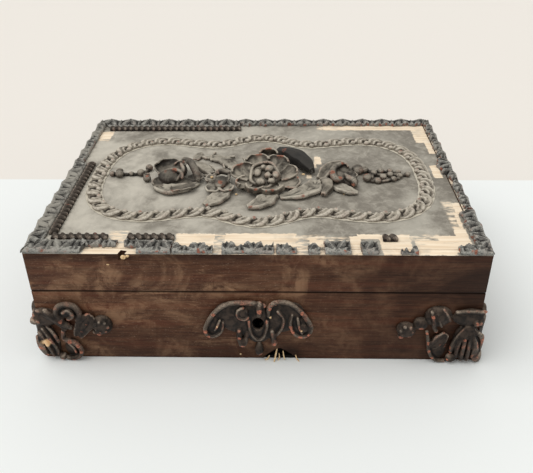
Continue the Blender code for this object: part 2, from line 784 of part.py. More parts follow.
def corner_mount(name, side_x, side_y, material):
    """A fluted shell round the corner under a capping, with a scroll, a knob and a bud along the face.

    The two at the back, which face a wall, are plainer.
    """
    frame = corner_frame(side_x, side_y)
    relief = mount_relief
    levels = (
        (0.002, 0.13, 0.5, 0.10), (0.12, 0.24, 0.9, 0.28), (0.30, 0.26, 0.70, 0.30), (0.52, 0.30, 0.62, 0.28),
        (0.70, 0.28, 0.60, 0.15), (0.74, 0.34, 1.0, 0.0), (0.86, 0.38, 0.85, 0.0), (0.985, 0.34, 0.42, 0.0),
    )
    sections = []
    for share, out, swell, flutes in levels:
        sections.append(shell_section(share * mount_height, out * mount_reach, out * mount_return,
                                      swell * relief, flutes))
    mount = loft(name, sections, material, frame=frame)
    shade_round(mount, 40)

    def place(x, z):
        return -x * mount_reach, z * mount_height

    scroll = [place(0.70, 0.62), place(0.69, 0.42), place(0.65, 0.25), place(0.56, 0.12),
              place(0.44, 0.07), place(0.30, 0.10)]
    parts = [
        band(scroll, scroll_width / 2, relief, material, name + "_scroll", frame),
        band([place(0.90, 0.62), place(0.74, 0.70), place(0.56, 0.78)], link_width / 2,
             relief * 0.9, material, name + "_link", frame),
        band([place(0.52, 0.80), place(0.36, 0.78), place(0.22, 0.84)], link_width / 2,
             relief * 0.8, material, name + "_arm", frame),
        face_bud(name + "_knob", place(0.52, 0.86), knob_radius, relief * 1.5, 5, material, frame),
        face_bud(name + "_bud", place(0.94, 0.62), bud_radius, relief * 1.2, 6, material, frame),
    ]
    if side_y < 0:
        fold = [place(0.66, 0.56), place(0.52, 0.44), place(0.40, 0.46), place(0.30, 0.60)]
        parts.append(band(fold, leaf_fold_width / 2, relief * 0.7, material, name + "_leaf", frame))
    for part in parts:
        combine(mount, part, "UNION")


def corner_mounts():
    black = make_material("corner_composition", (0.045, 0.040, 0.036), 0.45)
    corner_mount("mount_front_left", -1, -1, black)
    corner_mount("mount_front_right", 1, -1, black)
    corner_mount("mount_back_left", -1, 1, black)
    corner_mount("mount_back_right", 1, 1, black)


def main():
    clear_scene()
    carcass()
    border()
    plaited_ring()
    floral_spray()
    escutcheon()
    escutcheon_drop()
    corner_mounts()


main()
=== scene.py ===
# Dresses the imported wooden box: worn wood, what is left of its border, the ring, the spray and the mounts.
import math

import bpy
import numpy
from mathutils import Matrix, Vector, noise


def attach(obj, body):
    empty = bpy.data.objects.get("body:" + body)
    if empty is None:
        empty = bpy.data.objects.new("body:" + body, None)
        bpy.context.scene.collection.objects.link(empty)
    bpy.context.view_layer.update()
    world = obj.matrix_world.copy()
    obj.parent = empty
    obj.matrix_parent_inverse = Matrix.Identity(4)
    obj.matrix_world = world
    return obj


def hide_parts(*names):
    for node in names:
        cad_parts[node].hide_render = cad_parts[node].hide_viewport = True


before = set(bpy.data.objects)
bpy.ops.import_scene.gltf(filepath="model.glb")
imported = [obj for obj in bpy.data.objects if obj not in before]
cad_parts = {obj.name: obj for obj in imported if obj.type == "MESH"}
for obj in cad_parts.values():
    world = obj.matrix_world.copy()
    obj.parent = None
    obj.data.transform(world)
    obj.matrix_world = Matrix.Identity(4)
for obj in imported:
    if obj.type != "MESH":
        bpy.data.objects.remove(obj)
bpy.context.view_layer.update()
mm = 0.001
print("frame loaded")

# The carcass as the frame has it, in millimetres
carcass = {"halfLength": 140.0, "halfWidth": 95.0, "seam": 55.5, "surface": 84.3}
surface = carcass["surface"]


# Camera at the photograph's place: millimetres, radians and pixels of a 533 wide image
shot = {"place": (14.35, -394.34, 303.25), "focal": 623.4, "width": 533, "sensor": 36.0,
        "pitch": 0.51324, "yaw": -0.02537, "roll": -0.01027, "axisRow": 180.0, "middleRow": 236.5}


def makeCamera(values):
    pitch, yaw, roll = values["pitch"], values["yaw"], values["roll"]
    ahead = Vector((math.sin(yaw) * math.cos(pitch), math.cos(yaw) * math.cos(pitch), -math.sin(pitch)))
    right = Vector((math.cos(yaw), -math.sin(yaw), 0))
    up = right.cross(ahead)
    rightRolled = right * math.cos(roll) + up * math.sin(roll)
    upRolled = up * math.cos(roll) - right * math.sin(roll)
    data = bpy.data.cameras.new("camera")
    data.lens = values["focal"] / values["width"] * values["sensor"]
    data.sensor_width = values["sensor"]
    data.shift_y = (values["axisRow"] - values["middleRow"]) / values["width"]
    data.clip_start, data.clip_end = 0.02, 20
    camera = bpy.data.objects.new("camera", data)
    bpy.context.scene.collection.objects.link(camera)
    turn = Matrix((rightRolled, upRolled, -ahead)).transposed().to_4x4()
    camera.matrix_world = Matrix.Translation(Vector(values["place"]) * mm) @ turn
    bpy.context.scene.camera = camera


makeCamera(shot)


# Shader maths: a wire is one socket, and sums on wires add their Math nodes
class Wire:
    def __init__(self, finish, socket):
        self.finish, self.socket = finish, socket

    def __add__(self, other):
        return self.finish.maths("ADD", self, other)

    def __sub__(self, other):
        return self.finish.maths("SUBTRACT", self, other)

    def __rsub__(self, other):
        return self.finish.maths("SUBTRACT", other, self)

    def __mul__(self, other):
        return self.finish.maths("MULTIPLY", self, other)

    def __abs__(self):
        return self.finish.maths("ABSOLUTE", self)

    __radd__ = __add__
    __rmul__ = __mul__


def tint(red, green, blue):
    # a colour read off as 0 to 255, as the shader wants it
    return tuple(((c / 255 + 0.055) / 1.055) ** 2.4 for c in (red, green, blue)) + (1.0,)


class Finish:
    def __init__(self, name, **constants):
        self.material = bpy.data.materials.new(name)
        self.material.use_nodes = True
        self.tree = self.material.node_tree
        self.shader = self.tree.nodes["Principled BSDF"]
        for socket, value in constants.items():
            self.shader.inputs[socket.replace("_", " ")].default_value = value
        self.place = self.scaled(self.node("TexCoord", output="Object"), 1 / mm)

    def join(self, socket, value):
        if isinstance(value, Wire):
            self.tree.links.new(value.socket, socket)
        else:
            socket.default_value = value

    def node(self, kind, settings=None, inputs=None, output=0):
        made = self.tree.nodes.new("ShaderNode" + kind)
        for key, value in (settings or {}).items():
            setattr(made, key, value)
        for key, value in (inputs or {}).items():
            self.join(made.inputs[key], value)
        return Wire(self, made.outputs[output])

    def maths(self, operation, a, b=0.0):
        return self.node("Math", {"operation": operation}, {0: a, 1: b})

    def larger(self, a, b):
        return self.maths("MAXIMUM", a, b)

    def vector(self, operation, a, b=(0, 0, 0), output=0):
        return self.node("VectorMath", {"operation": operation}, {0: a, 1: b}, output)

    def scaled(self, vector, size):
        return self.node("VectorMath", {"operation": "SCALE"}, {"Vector": vector, "Scale": size})

    def smooth(self, value, low, high):
        return self.node("MapRange", {"interpolation_type": "SMOOTHSTEP"},
                         {"Value": value, "From Min": low, "From Max": high})

    def mix(self, factor, a, b):
        # each colour is a wire, or red, green and blue from 0 to 255
        a, b = (tint(*colour) if isinstance(colour, tuple) else colour for colour in (a, b))
        return self.node("Mix", {"data_type": "RGBA"}, {0: factor, 6: a, 7: b}, 2)

    def layered(self, colour, *coats):
        # lays each coat over the last through its own mask
        for mask, coat in coats:
            colour = self.mix(mask, colour, coat)
        return colour

    def noise(self, scale, detail=4.0, rough=0.55, size=(1, 1, 1), warp=0.0, shift=0.0, turn=(0, 0, 0)):
        # scale is in lumps per millimetre
        spot = self.node("Mapping", {"vector_type": "POINT"},
                         {"Vector": self.place, "Rotation": turn, "Scale": size})
        if shift:
            spot = self.vector("ADD", spot, (shift, shift * 0.7, shift * 0.3))
        return self.node("TexNoise", inputs={"Vector": spot, "Scale": scale, "Detail": detail,
                                             "Roughness": rough, "Distortion": warp})

    def axes(self, vector=None):
        split = self.node("SeparateXYZ", inputs={0: vector or self.place}).socket.node
        return [Wire(self, split.outputs[i]) for i in range(3)]

    def finishWith(self, colour, roughness, height=None, strength=0.5, distance=0.4):
        self.join(self.shader.inputs["Base Color"], colour)
        self.join(self.shader.inputs["Roughness"], roughness)
        if height is not None:
            depth = distance * mm
            bump = self.node("Bump", inputs={"Height": height, "Strength": strength, "Distance": depth})
            self.join(self.shader.inputs["Normal"], bump)
        return self.material


# Bare wood on the lid, where the border has come away: low x, high x, low y, high y in millimetres
lidMarks = {
    "bare": [(50, 135, 79, 93), (122.5, 134, 55.5, 82), (129, 134, 36, 60), (125, 131, -2, 17),
             (128.5, 134.6, -50, -36), (127, 129.5, -76, -48), (122.5, 130, -90, -67), (111, 128, -92, -75),
             (96, 119, -95, -80), (75, 94, -95, -74), (62, 76, -79, -73.5), (57, 63.5, -95, -76),
             (-19.5, 24, -95, -73.2), (-50, -26, -95, -73.6), (32, 41, -85, -79.5), (-104, -69, -96, -84),
             (137, 141, 63, 86), (-136.5, -124, 62, 76),
             (37, 41.5, 13, 21), (40, 45, 19, 31), (33, 37, -3, 2)],
    "greyed": [(45, 62, 79, 93), (-27, -19, -95, -74), (23, 42, -95, -75), (-92.5, -80, -86, -71),
               (89, 112, -80, -73.5), (-136.5, -124.5, 57, 75), (122.5, 129, -68, -35), (40, 63, -95, -77),
               (134.5, 141, -60, 96)],
    # grey, dark and pale: the lid's coat, its grey partly a painted reflection of the bright room
    "grey": (168, 164, 154), "dark": (122, 117, 108), "pale": (206, 201, 189),
    "cream": (250, 235, 212), "creamDark": (230, 208, 180), "crack": (34, 26, 20),
    "wander": 3.0, "bareEdge": 0.35, "greyEdge": 1.2, "crackWander": 0.35,
    "cracks": [(134.2, -52, 94), (-136.6, -86, 92)],   # x of a dark crack beside the border, low y and high y
    "underside": 83.0,
}


def patches(finish, boxes, spot, soft):
    # a mask of the places inside any box
    best = None
    for x0, x1, y0, y1 in boxes:
        away = finish.vector("ABSOLUTE", finish.vector("SUBTRACT", spot, ((x0 + x1) / 2, (y0 + y1) / 2, 0)))
        x, y, _ = finish.axes(finish.vector("SUBTRACT", away, ((x1 - x0) / 2, (y1 - y0) / 2, 1)))
        far = finish.larger(x, y)
        best = far if best is None else finish.maths("MINIMUM", best, far)
    return finish.smooth(best, soft, -soft)


def lidTop(finish):
    marks, smooth = lidMarks, finish.smooth
    wander = finish.node("TexNoise", inputs={"Vector": finish.place, "Scale": 0.35, "Detail": 4.0}, output=1)
    wander = finish.scaled(finish.vector("SUBTRACT", wander, (0.5, 0.5, 0.5)), marks["wander"])
    spot = finish.vector("ADD", finish.vector("MULTIPLY", finish.place, (1, 1, 0)), wander)
    bare = patches(finish, marks["bare"], spot, marks["bareEdge"])
    greyed = patches(finish, marks["greyed"], spot, marks["greyEdge"])
    clouds = finish.noise(0.018, 5.0, 0.62, warp=0.5)
    fine = finish.noise(0.16, 5.0, 0.65, warp=0.5)
    grit = finish.noise(1.6, 3.0, 0.7)
    across, _, _ = finish.axes()
    # The grey coat is dust on black paint, made lighter as a painted reflection of the bright room. It is
    # paler towards the left.
    coat = finish.layered(finish.mix(smooth(clouds, 0.40, 0.62), marks["dark"], marks["grey"]),
                          (smooth(fine, 0.40, 0.80) * 0.5, marks["pale"]),
                          (smooth(across, 40, -90) * smooth(clouds, 0.34, 0.60) * 0.55, marks["pale"]),
                          (smooth(grit, 0.58, 0.75) * 0.35, marks["dark"]),
                          (smooth(grit, 0.42, 0.30) * 0.30, marks["pale"]))
    grain = finish.noise(0.5, 5.0, 0.6, size=(0.05, 1.0, 1.0))
    blotch = finish.noise(0.09, 3.0, 0.5, shift=31.0)
    scratch = finish.noise(0.9, 4.0, 0.65, size=(0.08, 1.0, 1.0), shift=21.0)
    wood = finish.layered(finish.mix(smooth(grain, 0.35, 0.68), marks["cream"], marks["creamDark"]),
                          (smooth(blotch, 0.54, 0.74) * 0.35, marks["grey"]),
                          (smooth(scratch, 0.62, 0.72) * 0.45, marks["dark"]))
    smear = greyed * smooth(finish.noise(0.25, 4.0, 0.6, size=(0.5, 1.6, 1), shift=9.0), 0.38, 0.60)
    bareAll = finish.larger(bare, smear)
    colour = finish.mix(bareAll, coat, wood)
    x, y, _ = finish.axes(finish.vector("ADD", finish.place, finish.scaled(wander, marks["crackWander"])))
    for crackX, low, high in marks["cracks"]:
        line = smooth(abs(x - crackX), 0.75, 0.25)
        line = line * smooth(y, low - 1, low + 1) * smooth(y, high + 1, high - 1)
        colour = finish.mix(line * 0.9, colour, marks["crack"])
    rough = 0.52 + fine * 0.2 + bareAll * 0.15
    height = (1 - bareAll) * 0.7 + fine * 0.25 + grit * 0.12 + grain * bareAll * 0.2
    return colour, rough, height


# Stained wood: dark, with its grain along the board, rubbed pale in clouds and along the edges, with painted
# shade towards the right, round the chip, low down and under the top edge, and painted shadow in the chip and
# behind the keyhole
stain = {
    "dark": (56, 34, 24), "middle": (106, 72, 53), "rubbed": (184, 146, 114), "seam": (18, 10, 6),
    "inside": (104, 72, 48), "rust": (104, 58, 40), "ashen": (174, 149, 128), "shade": (26, 14, 9),
    "black": (5, 3, 2),
    # keyhole: where the wood behind the keyhole is painted black as painted shadow; chipShade: where painted
    # shade spreads round the chip
    "keyhole": (0.6, 32.6, 4.9), "chipShade": (17, 2, 22),   # x, z and how far it reaches
    # chip: the notch at the foot, painted black inside as painted shadow
    "chip": {"x": 15, "half": 12, "top": 10.6, "back": -95.1}, "innerX": 134.7, "innerY": 89.7, "frontY": -88,
}


def stainedWood(name, along):
    finish = Finish(name, Roughness=0.55, Specular_IOR_Level=0.12)
    smooth, larger, chip = finish.smooth, finish.larger, stain["chip"]

    def lengthways(thin):
        return (thin, 1.0, 1.0) if along == "x" else (1.0, thin, 1.0)

    grain = finish.noise(1.1, 6.0, 0.62, size=lengthways(0.06), warp=0.35)
    streak = finish.noise(0.22, 4.0, 0.6, size=lengthways(0.06), shift=17.0)
    clouds = finish.noise(0.024, 4.0, 0.6, warp=0.9, shift=5.0)
    scuffs = finish.noise(0.10, 6.0, 0.72, warp=0.6, shift=43.0)
    swipes = finish.noise(0.09, 5.0, 0.65, size=(0.25, 1.0, 1.6), warp=0.8, turn=(0.0, -0.55, 0.0))
    specks = finish.noise(2.2, 3.0, 0.6, size=lengthways(0.35), shift=3.0)
    grit = finish.noise(1.1, 4.0, 0.7)
    x, y, z = finish.axes()
    flat = finish.node("CombineXYZ", inputs={0: x, 2: z})
    toRight = smooth(x, 130, -40)
    rub = smooth(clouds, 0.42, 0.64) * smooth(scuffs, 0.34, 0.62)
    rub = larger(rub, smooth(swipes, 0.55, 0.68) * smooth(scuffs, 0.38, 0.6) * 0.9)
    rub = rub * (0.10 + toRight * 0.45) * (0.60 + smooth(z, 50, 58) * 0.40)
    # painted shade: darker towards the right, round the chip, low down and under the top edge
    chipX, chipZ, chipFar = stain["chipShade"]
    away = finish.vector("DISTANCE", flat, (chipX, 0, chipZ), 1)
    shade = larger(smooth(x, 0, 135) * 0.74, smooth(away, chipFar, 6) * 0.80)
    shade = larger(larger(shade, smooth(z, 46, 0) * 0.38), smooth(z, 77, 82) * 0.55)
    shade = shade * (0.55 + smooth(clouds, 0.62, 0.38) * 0.45)
    nearSeam = smooth(abs(z - carcass["seam"]), 1.3, 0.2)
    foot = smooth(z, 2.4, 0.2) * smooth(grit, 0.35, 0.6)
    keyX, keyZ, keyFar = stain["keyhole"]
    away = finish.vector("DISTANCE", flat, (keyX, 0, keyZ), 1)
    atFront = smooth(y, stain["frontY"], stain["frontY"] - 2)
    # painted shadow inside the chip, laid on as black
    chipShadow = smooth(y, chip["back"], chip["back"] + 0.4) * smooth(z, chip["top"], chip["top"] - 0.4)
    chipShadow = chipShadow * smooth(abs(x - chip["x"]), chip["half"], chip["half"] - 0.6) * atFront
    inward = larger(abs(x) - stain["innerX"], abs(y) - stain["innerY"])
    colour = finish.layered(finish.mix(smooth(grain, 0.25, 0.78) * 0.75, stain["dark"], stain["middle"]),
                            (smooth(streak, 0.46, 0.72) * 0.45, stain["rust"]),
                            (rub, stain["rubbed"]),
                            (smooth(specks, 0.60, 0.74) * (0.14 + toRight * 0.32), stain["ashen"]),
                            (shade, stain["shade"]),
                            (nearSeam * 0.80, stain["seam"]),
                            (foot * 0.7, stain["seam"]),
                            # painted shadow in the chip and behind the keyhole
                            (chipShadow, stain["black"]),
                            (smooth(away, keyFar + 1.5, keyFar + 0.5) * atFront, stain["black"]),
                            (smooth(inward, 0.05, -0.05), finish.mix(grain, stain["inside"], stain["rust"])))
    height = grain * 0.30 + grit * 0.2 + scuffs * 0.15 + (1 - nearSeam) * 0.5
    rough = 0.46 + grit * 0.22 + rub * 0.15
    return finish.finishWith(colour, rough, height, 0.5, 0.3)


# the lid's top: dust on black paint, its grey partly a painted reflection
def dustAndSheenPanel():
    finish = Finish("dustAndSheenPanel", Roughness=0.6, Specular_IOR_Level=0.4)
    _, _, z = finish.axes()
    colour, rough, height = lidTop(finish)
    below = finish.smooth(z, lidMarks["underside"], lidMarks["underside"] - 0.2)
    return finish.finishWith(finish.mix(below, colour, stain["inside"]), rough, height)


def plainBottom():
    finish = Finish("bottomWood", Roughness=0.75, Specular_IOR_Level=0.2)
    grain = finish.noise(0.6, 6.0, 0.6, size=(0.05, 1.0, 1.0), warp=0.3)
    blotch = finish.noise(0.04, 4.0, 0.6)
    colour = finish.layered(finish.mix(finish.smooth(grain, 0.3, 0.7), (92, 66, 46), (128, 96, 68)),
                            (finish.smooth(blotch, 0.45, 0.7) * 0.5, (70, 50, 36)))
    return finish.finishWith(colour, 0.68 + grain * 0.15, grain, 0.4, 0.3)


# Moulded composition: painted shade in its hollows, dust and painted top light on its upper faces, a painted
# highlight along its ridges, and red where it is broken
# lump: fineness of the lumps, per mm. The dust-on-top coat (dust with painted top light), sunk (painted shade
# in hollows), rimShare (painted highlight on ridges) and rub: strength of each coat
# crest: the percentile of heights that counts as a full ridge
# deep is the colour of the painted shade in hollows, rim the colour of the painted highlight on ridges, and
# dust also serves as painted top light
composition = {
    "border": {"deep": (20, 19, 19), "dark": (54, 54, 54), "light": (98, 98, 96), "dust": (156, 153, 145),
               "rim": (188, 187, 180), "red": (158, 92, 70), "lump": 0.3, "dustOnTop": 0.3,
               "rimShare": 0.66, "rub": 0.15, "sheen": 0.12, "sunk": 0.88, "crest": 72},
    "bead": {"deep": (7, 5, 4), "dark": (24, 20, 18), "light": (50, 44, 40), "dust": (126, 117, 107),
             "rim": (184, 171, 158), "red": (150, 98, 86), "lump": 0.35, "dustOnTop": 0.16,
             "rimShare": 0.72, "rub": 0.2, "sheen": 0.12, "sunk": 0.92, "crest": 95},
    "ring": {"deep": (28, 23, 19), "dark": (88, 80, 71), "light": (142, 134, 122), "dust": (198, 192, 178),
             "rim": (226, 219, 206), "red": (156, 106, 92), "lump": 0.25, "dustOnTop": 0.52,
             "rimShare": 0.62, "rub": 0.15, "sheen": 0.12, "sunk": 0.88, "crest": 84},
    "spray": {"deep": (14, 12, 10), "dark": (56, 51, 45), "light": (98, 90, 81), "dust": (184, 177, 163),
              "rim": (206, 197, 182), "red": (172, 108, 86), "lump": 0.1, "dustOnTop": 0.66,
              "rimShare": 0.55, "rub": 0.3, "sheen": 0.2, "sunk": 0.52, "crest": 86},
    "sooty": {"deep": (8, 7, 6), "dark": (26, 25, 24), "light": (42, 40, 38), "dust": (92, 88, 82),
              "rim": (120, 114, 104), "red": (166, 100, 78), "lump": 0.1, "dustOnTop": 0.2,
              "rimShare": 0.15, "rub": 0, "sheen": 0.35, "sunk": 0.4, "crest": 92},
    "worn": {"deep": (16, 13, 11), "dark": (60, 54, 48), "light": (104, 97, 88), "dust": (196, 190, 176),
             "rim": (212, 205, 191), "red": (156, 100, 84), "lump": 0.08, "dustOnTop": 0.7, "rimShare": 0.5,
             "rub": 0.22, "sheen": 0.15, "sunk": 0.7, "crest": 86},
    "mount": {"deep": (4, 3, 2), "dark": (26, 19, 15), "light": (62, 50, 42), "dust": (132, 117, 104),
              "rim": (202, 184, 166), "red": (200, 124, 98), "lump": 0.25, "dustOnTop": 0.42,
              "rimShare": 0.62, "rub": 0.8, "sheen": 0.2, "sunk": 0.85, "crest": 97, "bare": (232, 194, 150)},
}
composition["bud"] = dict(composition["spray"], deep=(10, 8, 7), dark=(34, 30, 27), light=(70, 63, 57),
                          dustOnTop=0.30, rimShare=0.50, crest=94)


def compositionFinish(kind):
    values = composition[kind]
    finish = Finish(kind + "Composition", Roughness=0.5, Specular_IOR_Level=values["sheen"])
    smooth = finish.smooth
    relief, worn, torn = (finish.node("Attribute", {"attribute_name": name}, output="Fac")
                          for name in ("relief", "worn", "pale"))
    _, _, up = finish.axes(finish.node("NewGeometry", output="Normal"))
    lumps = finish.noise(values["lump"], 5.0, 0.62, warp=0.3)
    grit = finish.noise(1.7, 4.0, 0.7)
    shreds = finish.noise(0.8, 5.0, 0.7, size=(1, 1, 1.4), warp=0.8, shift=6.0)
    patchy = finish.noise(0.11, 4.0, 0.6, shift=12.0)
    # the hollow mask lays painted shade in the hollows; the ridge mask, lit from above, lays a painted
    # highlight on the ridges
    hollow = smooth(relief + grit * 0.06, 0.47, 0.24)
    ridge = smooth(relief + grit * 0.16 - 0.08, 0.72, 0.98)
    # dust lies on upward faces, and the same coat lightens them as painted top light
    dustAndLitTop = smooth(up, 0.25, 0.95) * smooth(lumps * 0.75 + grit * 0.25, 0.30, 0.62)
    lit = smooth(shreds, 0.32, 0.58) * (0.35 + smooth(up, -0.2, 0.6) * 0.65)
    red = finish.mix(smooth(shreds, 0.36, 0.62), tuple(c * 0.55 for c in values["red"]), values["red"])
    broken = smooth(worn * 0.95 + shreds * 1.2 - 0.6, 0.42, 0.66) * (0.25 + smooth(relief, 0.50, 0.80) * 0.75)
    flecked = smooth(torn + grit * 0.4 - 0.2, 0.3, 0.6) * (1 - hollow * (0.2 if "bare" in values else 0.8))
    colour = finish.layered(finish.mix(smooth(lumps, 0.35, 0.68), values["dark"], values["light"]),
                            (dustAndLitTop * values["dustOnTop"], values["dust"]),
                            (hollow * values["sunk"], values["deep"]),
                            (ridge * lit * values["rimShare"], values["rim"]),
                            (ridge * smooth(patchy, 0.50, 0.62) * values["rub"], red),
                            (broken * 0.85, red),
                            (flecked, values.get("bare", values["dust"])))
    rough = 0.44 + dustAndLitTop * 0.25 + grit * 0.18
    return finish.finishWith(colour, rough, grit * 0.5 + shreds * 0.3, 0.30, 0.2)


def paleWood():
    finish = Finish("paleWood", Roughness=0.8, Specular_IOR_Level=0.2)
    fibre = finish.noise(1.6, 4.0, 0.6, size=(1.0, 1.0, 0.2))
    colour = finish.mix(finish.smooth(fibre, 0.35, 0.65), (236, 212, 172), (198, 162, 118))
    return finish.finishWith(colour, 0.7 + fibre * 0.2, fibre, 0.4, 0.2)


finishes = {
    "pale": paleWood(),
    "long": stainedWood("stainedWoodLong", "x"),
    "short": stainedWood("stainedWoodShort", "y"),
    "panel": dustAndSheenPanel(),
    "bottom": plainBottom(),
}
for kind in composition:
    finishes[kind] = compositionFinish(kind)
print("finishes ready")


def wear(piece, material):
    piece.data.materials.clear()
    piece.data.materials.append(material)


# How relief is told from form: rounds of smoothing, how far each pulls, longest edge counted, least height
reliefMark = {"rounds": 45, "pull": 0.6, "longest": 1.6, "least": 0.02}


def markRelief(piece, crest):
    # how far each point stands above the same surface with its detail smoothed away, from 0 to 1
    mesh = piece.data
    count = len(mesh.vertices)
    place, normal = numpy.empty(count * 3), numpy.empty(count * 3)
    ends = numpy.empty(len(mesh.edges) * 2, int)
    mesh.vertices.foreach_get("co", place)
    mesh.vertex_normals.foreach_get("vector", normal)
    mesh.edges.foreach_get("vertices", ends)
    place, normal, ends = place.reshape(-1, 3) / mm, normal.reshape(-1, 3), ends.reshape(-1, 2)
    # long edges only span the hidden flat back of a piece, and would drag its rim
    ends = ends[numpy.linalg.norm(place[ends[:, 0]] - place[ends[:, 1]], axis=1) < reliefMark["longest"]]
    first, second = ends[:, 0], ends[:, 1]
    degree = numpy.bincount(ends.ravel(), minlength=count)
    soft, pull = place.copy(), reliefMark["pull"]
    for _ in range(reliefMark["rounds"]):
        for axis in range(3):
            here = soft[:, axis]
            near = numpy.bincount(first, here[second], count) + numpy.bincount(second, here[first], count)
            near = numpy.where(degree > 0, near / numpy.maximum(degree, 1), here)
            soft[:, axis] = (1 - pull) * here + pull * near
    relief = ((place - soft) * normal).sum(1)
    highest = max(float(numpy.percentile(numpy.abs(relief), crest)), reliefMark["least"])
    relief = 0.5 + 0.5 * numpy.clip(relief / highest, -1, 1)
    layer = mesh.attributes.new("relief", "FLOAT", "POINT")
    layer.data.foreach_set("value", relief.astype(numpy.float32))


def settle(piece, material, slot, nodes):
    # gives a finished piece its material, its body and the nodes that it stands for
    if material in composition:
        markRelief(piece, composition[material]["crest"])
    wear(piece, finishes[material])
    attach(piece, "root")
    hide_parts(*nodes)


def useOnly(*pieces):
    bpy.ops.object.select_all(action="DESELECT")
    for piece in pieces:
        piece.select_set(True)
    bpy.context.view_layer.objects.active = pieces[0]


def editAll(piece):
    useOnly(piece)
    bpy.ops.object.mode_set(mode="EDIT")
    bpy.ops.mesh.select_all(action="SELECT")


def applyAll(piece):
    useOnly(piece)
    for name in [modifier.name for modifier in piece.modifiers]:
        bpy.ops.object.modifier_apply(modifier=name)


# Boards: each takes its shape from the frame, and its long arrises are rounded by wear
boardWear = {"weld": 0.00001, "dissolve": 0.02, "round": 0.0006, "segments": 3, "longEdge": 0.02,
             "smoothTo": 35, "topFrom": 83.6}


def wornBoard(node, name, material, slot):
    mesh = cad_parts[node].data.copy()
    piece = bpy.data.objects.new(name, mesh)
    bpy.context.scene.collection.objects.link(piece)
    editAll(piece)
    bpy.ops.mesh.remove_doubles(threshold=boardWear["weld"])
    bpy.ops.mesh.dissolve_limited(angle_limit=boardWear["dissolve"])
    bpy.ops.mesh.select_all(action="DESELECT")
    bpy.ops.object.mode_set(mode="OBJECT")
    for edge in mesh.edges:
        a, b = (mesh.vertices[i].co for i in edge.vertices)
        edge.select = (a - b).length > boardWear["longEdge"]
    bpy.ops.object.mode_set(mode="EDIT")
    bpy.ops.mesh.select_mode(type="EDGE")
    bpy.ops.mesh.bevel(offset=boardWear["round"], segments=boardWear["segments"], clamp_overlap=True)
    bpy.ops.object.mode_set(mode="OBJECT")
    bpy.ops.object.shade_smooth_by_angle(angle=math.radians(boardWear["smoothTo"]))
    settle(piece, material, slot, [node])
    if node.startswith("lid_") and material != "panel":
        mesh.materials.append(finishes["panel"])
        for face in mesh.polygons:
            face.material_index = int(face.center.z > boardWear["topFrom"] * mm)


for side, run in (("front", "long"), ("back", "long"), ("left", "short"), ("right", "short")):
    wornBoard("base_" + side + "_board", "baseBoard_" + side, run, "stained_wood")
    wornBoard("lid_" + side + "_rail", "lidRail_" + side, run, "stained_wood")
wornBoard("lid_panel", "lidPanel", "panel", "panel_wood")
wornBoard("base_bottom_board", "bottomBoard", "bottom", "bottom_wood")
print("boards done")


# Shapes given point by point, in millimetres
def meshPiece(name, points, faces):
    mesh = bpy.data.meshes.new(name)
    mesh.from_pydata([Vector(point) * mm for point in points], [], faces)
    mesh.update()
    piece = bpy.data.objects.new(name, mesh)
    bpy.context.scene.collection.objects.link(piece)
    return piece


def loftPiece(name, sections, closedRun=False):
    # joins sections of as many points each; an open run gets end caps
    count = len(sections[0])
    points = [point for section in sections for point in section]
    faces = []
    for i in range(len(sections) if closedRun else len(sections) - 1):
        here, there = i * count, (i + 1) % len(sections) * count
        for j in range(count):
            k = (j + 1) % count
            faces.append((here + j, here + k, there + k, there + j))
    if not closedRun:
        faces.append(tuple(range(count - 1, -1, -1)))
        faces.append(tuple(len(points) - count + i for i in range(count)))
    piece = meshPiece(name, points, faces)
    outward(piece)
    return piece


def outward(piece):
    editAll(piece)
    bpy.ops.mesh.normals_make_consistent(inside=False)
    bpy.ops.object.mode_set(mode="OBJECT")


def joinAs(name, parts):
    useOnly(*parts)
    if len(parts) > 1:
        bpy.ops.object.join()
    piece = bpy.context.view_layer.objects.active
    piece.name = piece.data.name = name
    return piece


def groundAt(piece, level):
    # nothing hangs below the face that carries the piece
    for point in piece.data.vertices:
        point.co.z = max(point.co.z, level * mm)
    piece.data.update()


def smoothShade(piece, degrees):
    useOnly(piece)
    bpy.ops.object.shade_smooth_by_angle(angle=math.radians(degrees))


def mark(piece, name, value):
    # a number for each point, from its place in millimetres
    points = piece.data.vertices
    layer = piece.data.attributes.get(name) or piece.data.attributes.new(name, "FLOAT", "POINT")
    layer.data.foreach_set("value", [min(1.0, max(0.0, value(point.co / mm))) for point in points])


def waver(x, y=0.0, z=0.0):
    # even, repeatable unevenness from -1 to 1
    return noise.noise(Vector((x, y, z)))


def spotted(spots):
    # worn places: x, y, z and how far each reaches
    places = [(Vector(spot[:3]), spot[3]) for spot in spots]

    def value(co):
        return max((1.15 - (co - place).length / far for place, far in places), default=0.0)
    return value


# The spray is laid out as the photograph shows it: x and y where a point is seen over the lid, and its height
eye = {"x": 14.35, "y": -394.34, "high": 218.95}


def seen(x, y, high):
    share = (eye["high"] - high) / eye["high"]
    return Vector((eye["x"] + (x - eye["x"]) * share, eye["y"] + (y - eye["y"]) * share, surface + high))


def sheetPart(across, along, thick, shape):
    # a grid shaped by u from -1 to 1 and v from 0 to 1, then given its thickness
    bpy.ops.object.select_all(action="DESELECT")
    bpy.ops.mesh.primitive_grid_add(x_subdivisions=across, y_subdivisions=along, size=2)
    part = bpy.context.active_object
    for point in part.data.vertices:
        point.co = shape(point.co.x, (point.co.y + 1) / 2) * mm
    solid = part.modifiers.new("thickness", "SOLIDIFY")
    solid.thickness, solid.offset = thick * mm, 0.0
    applyAll(part)
    return part


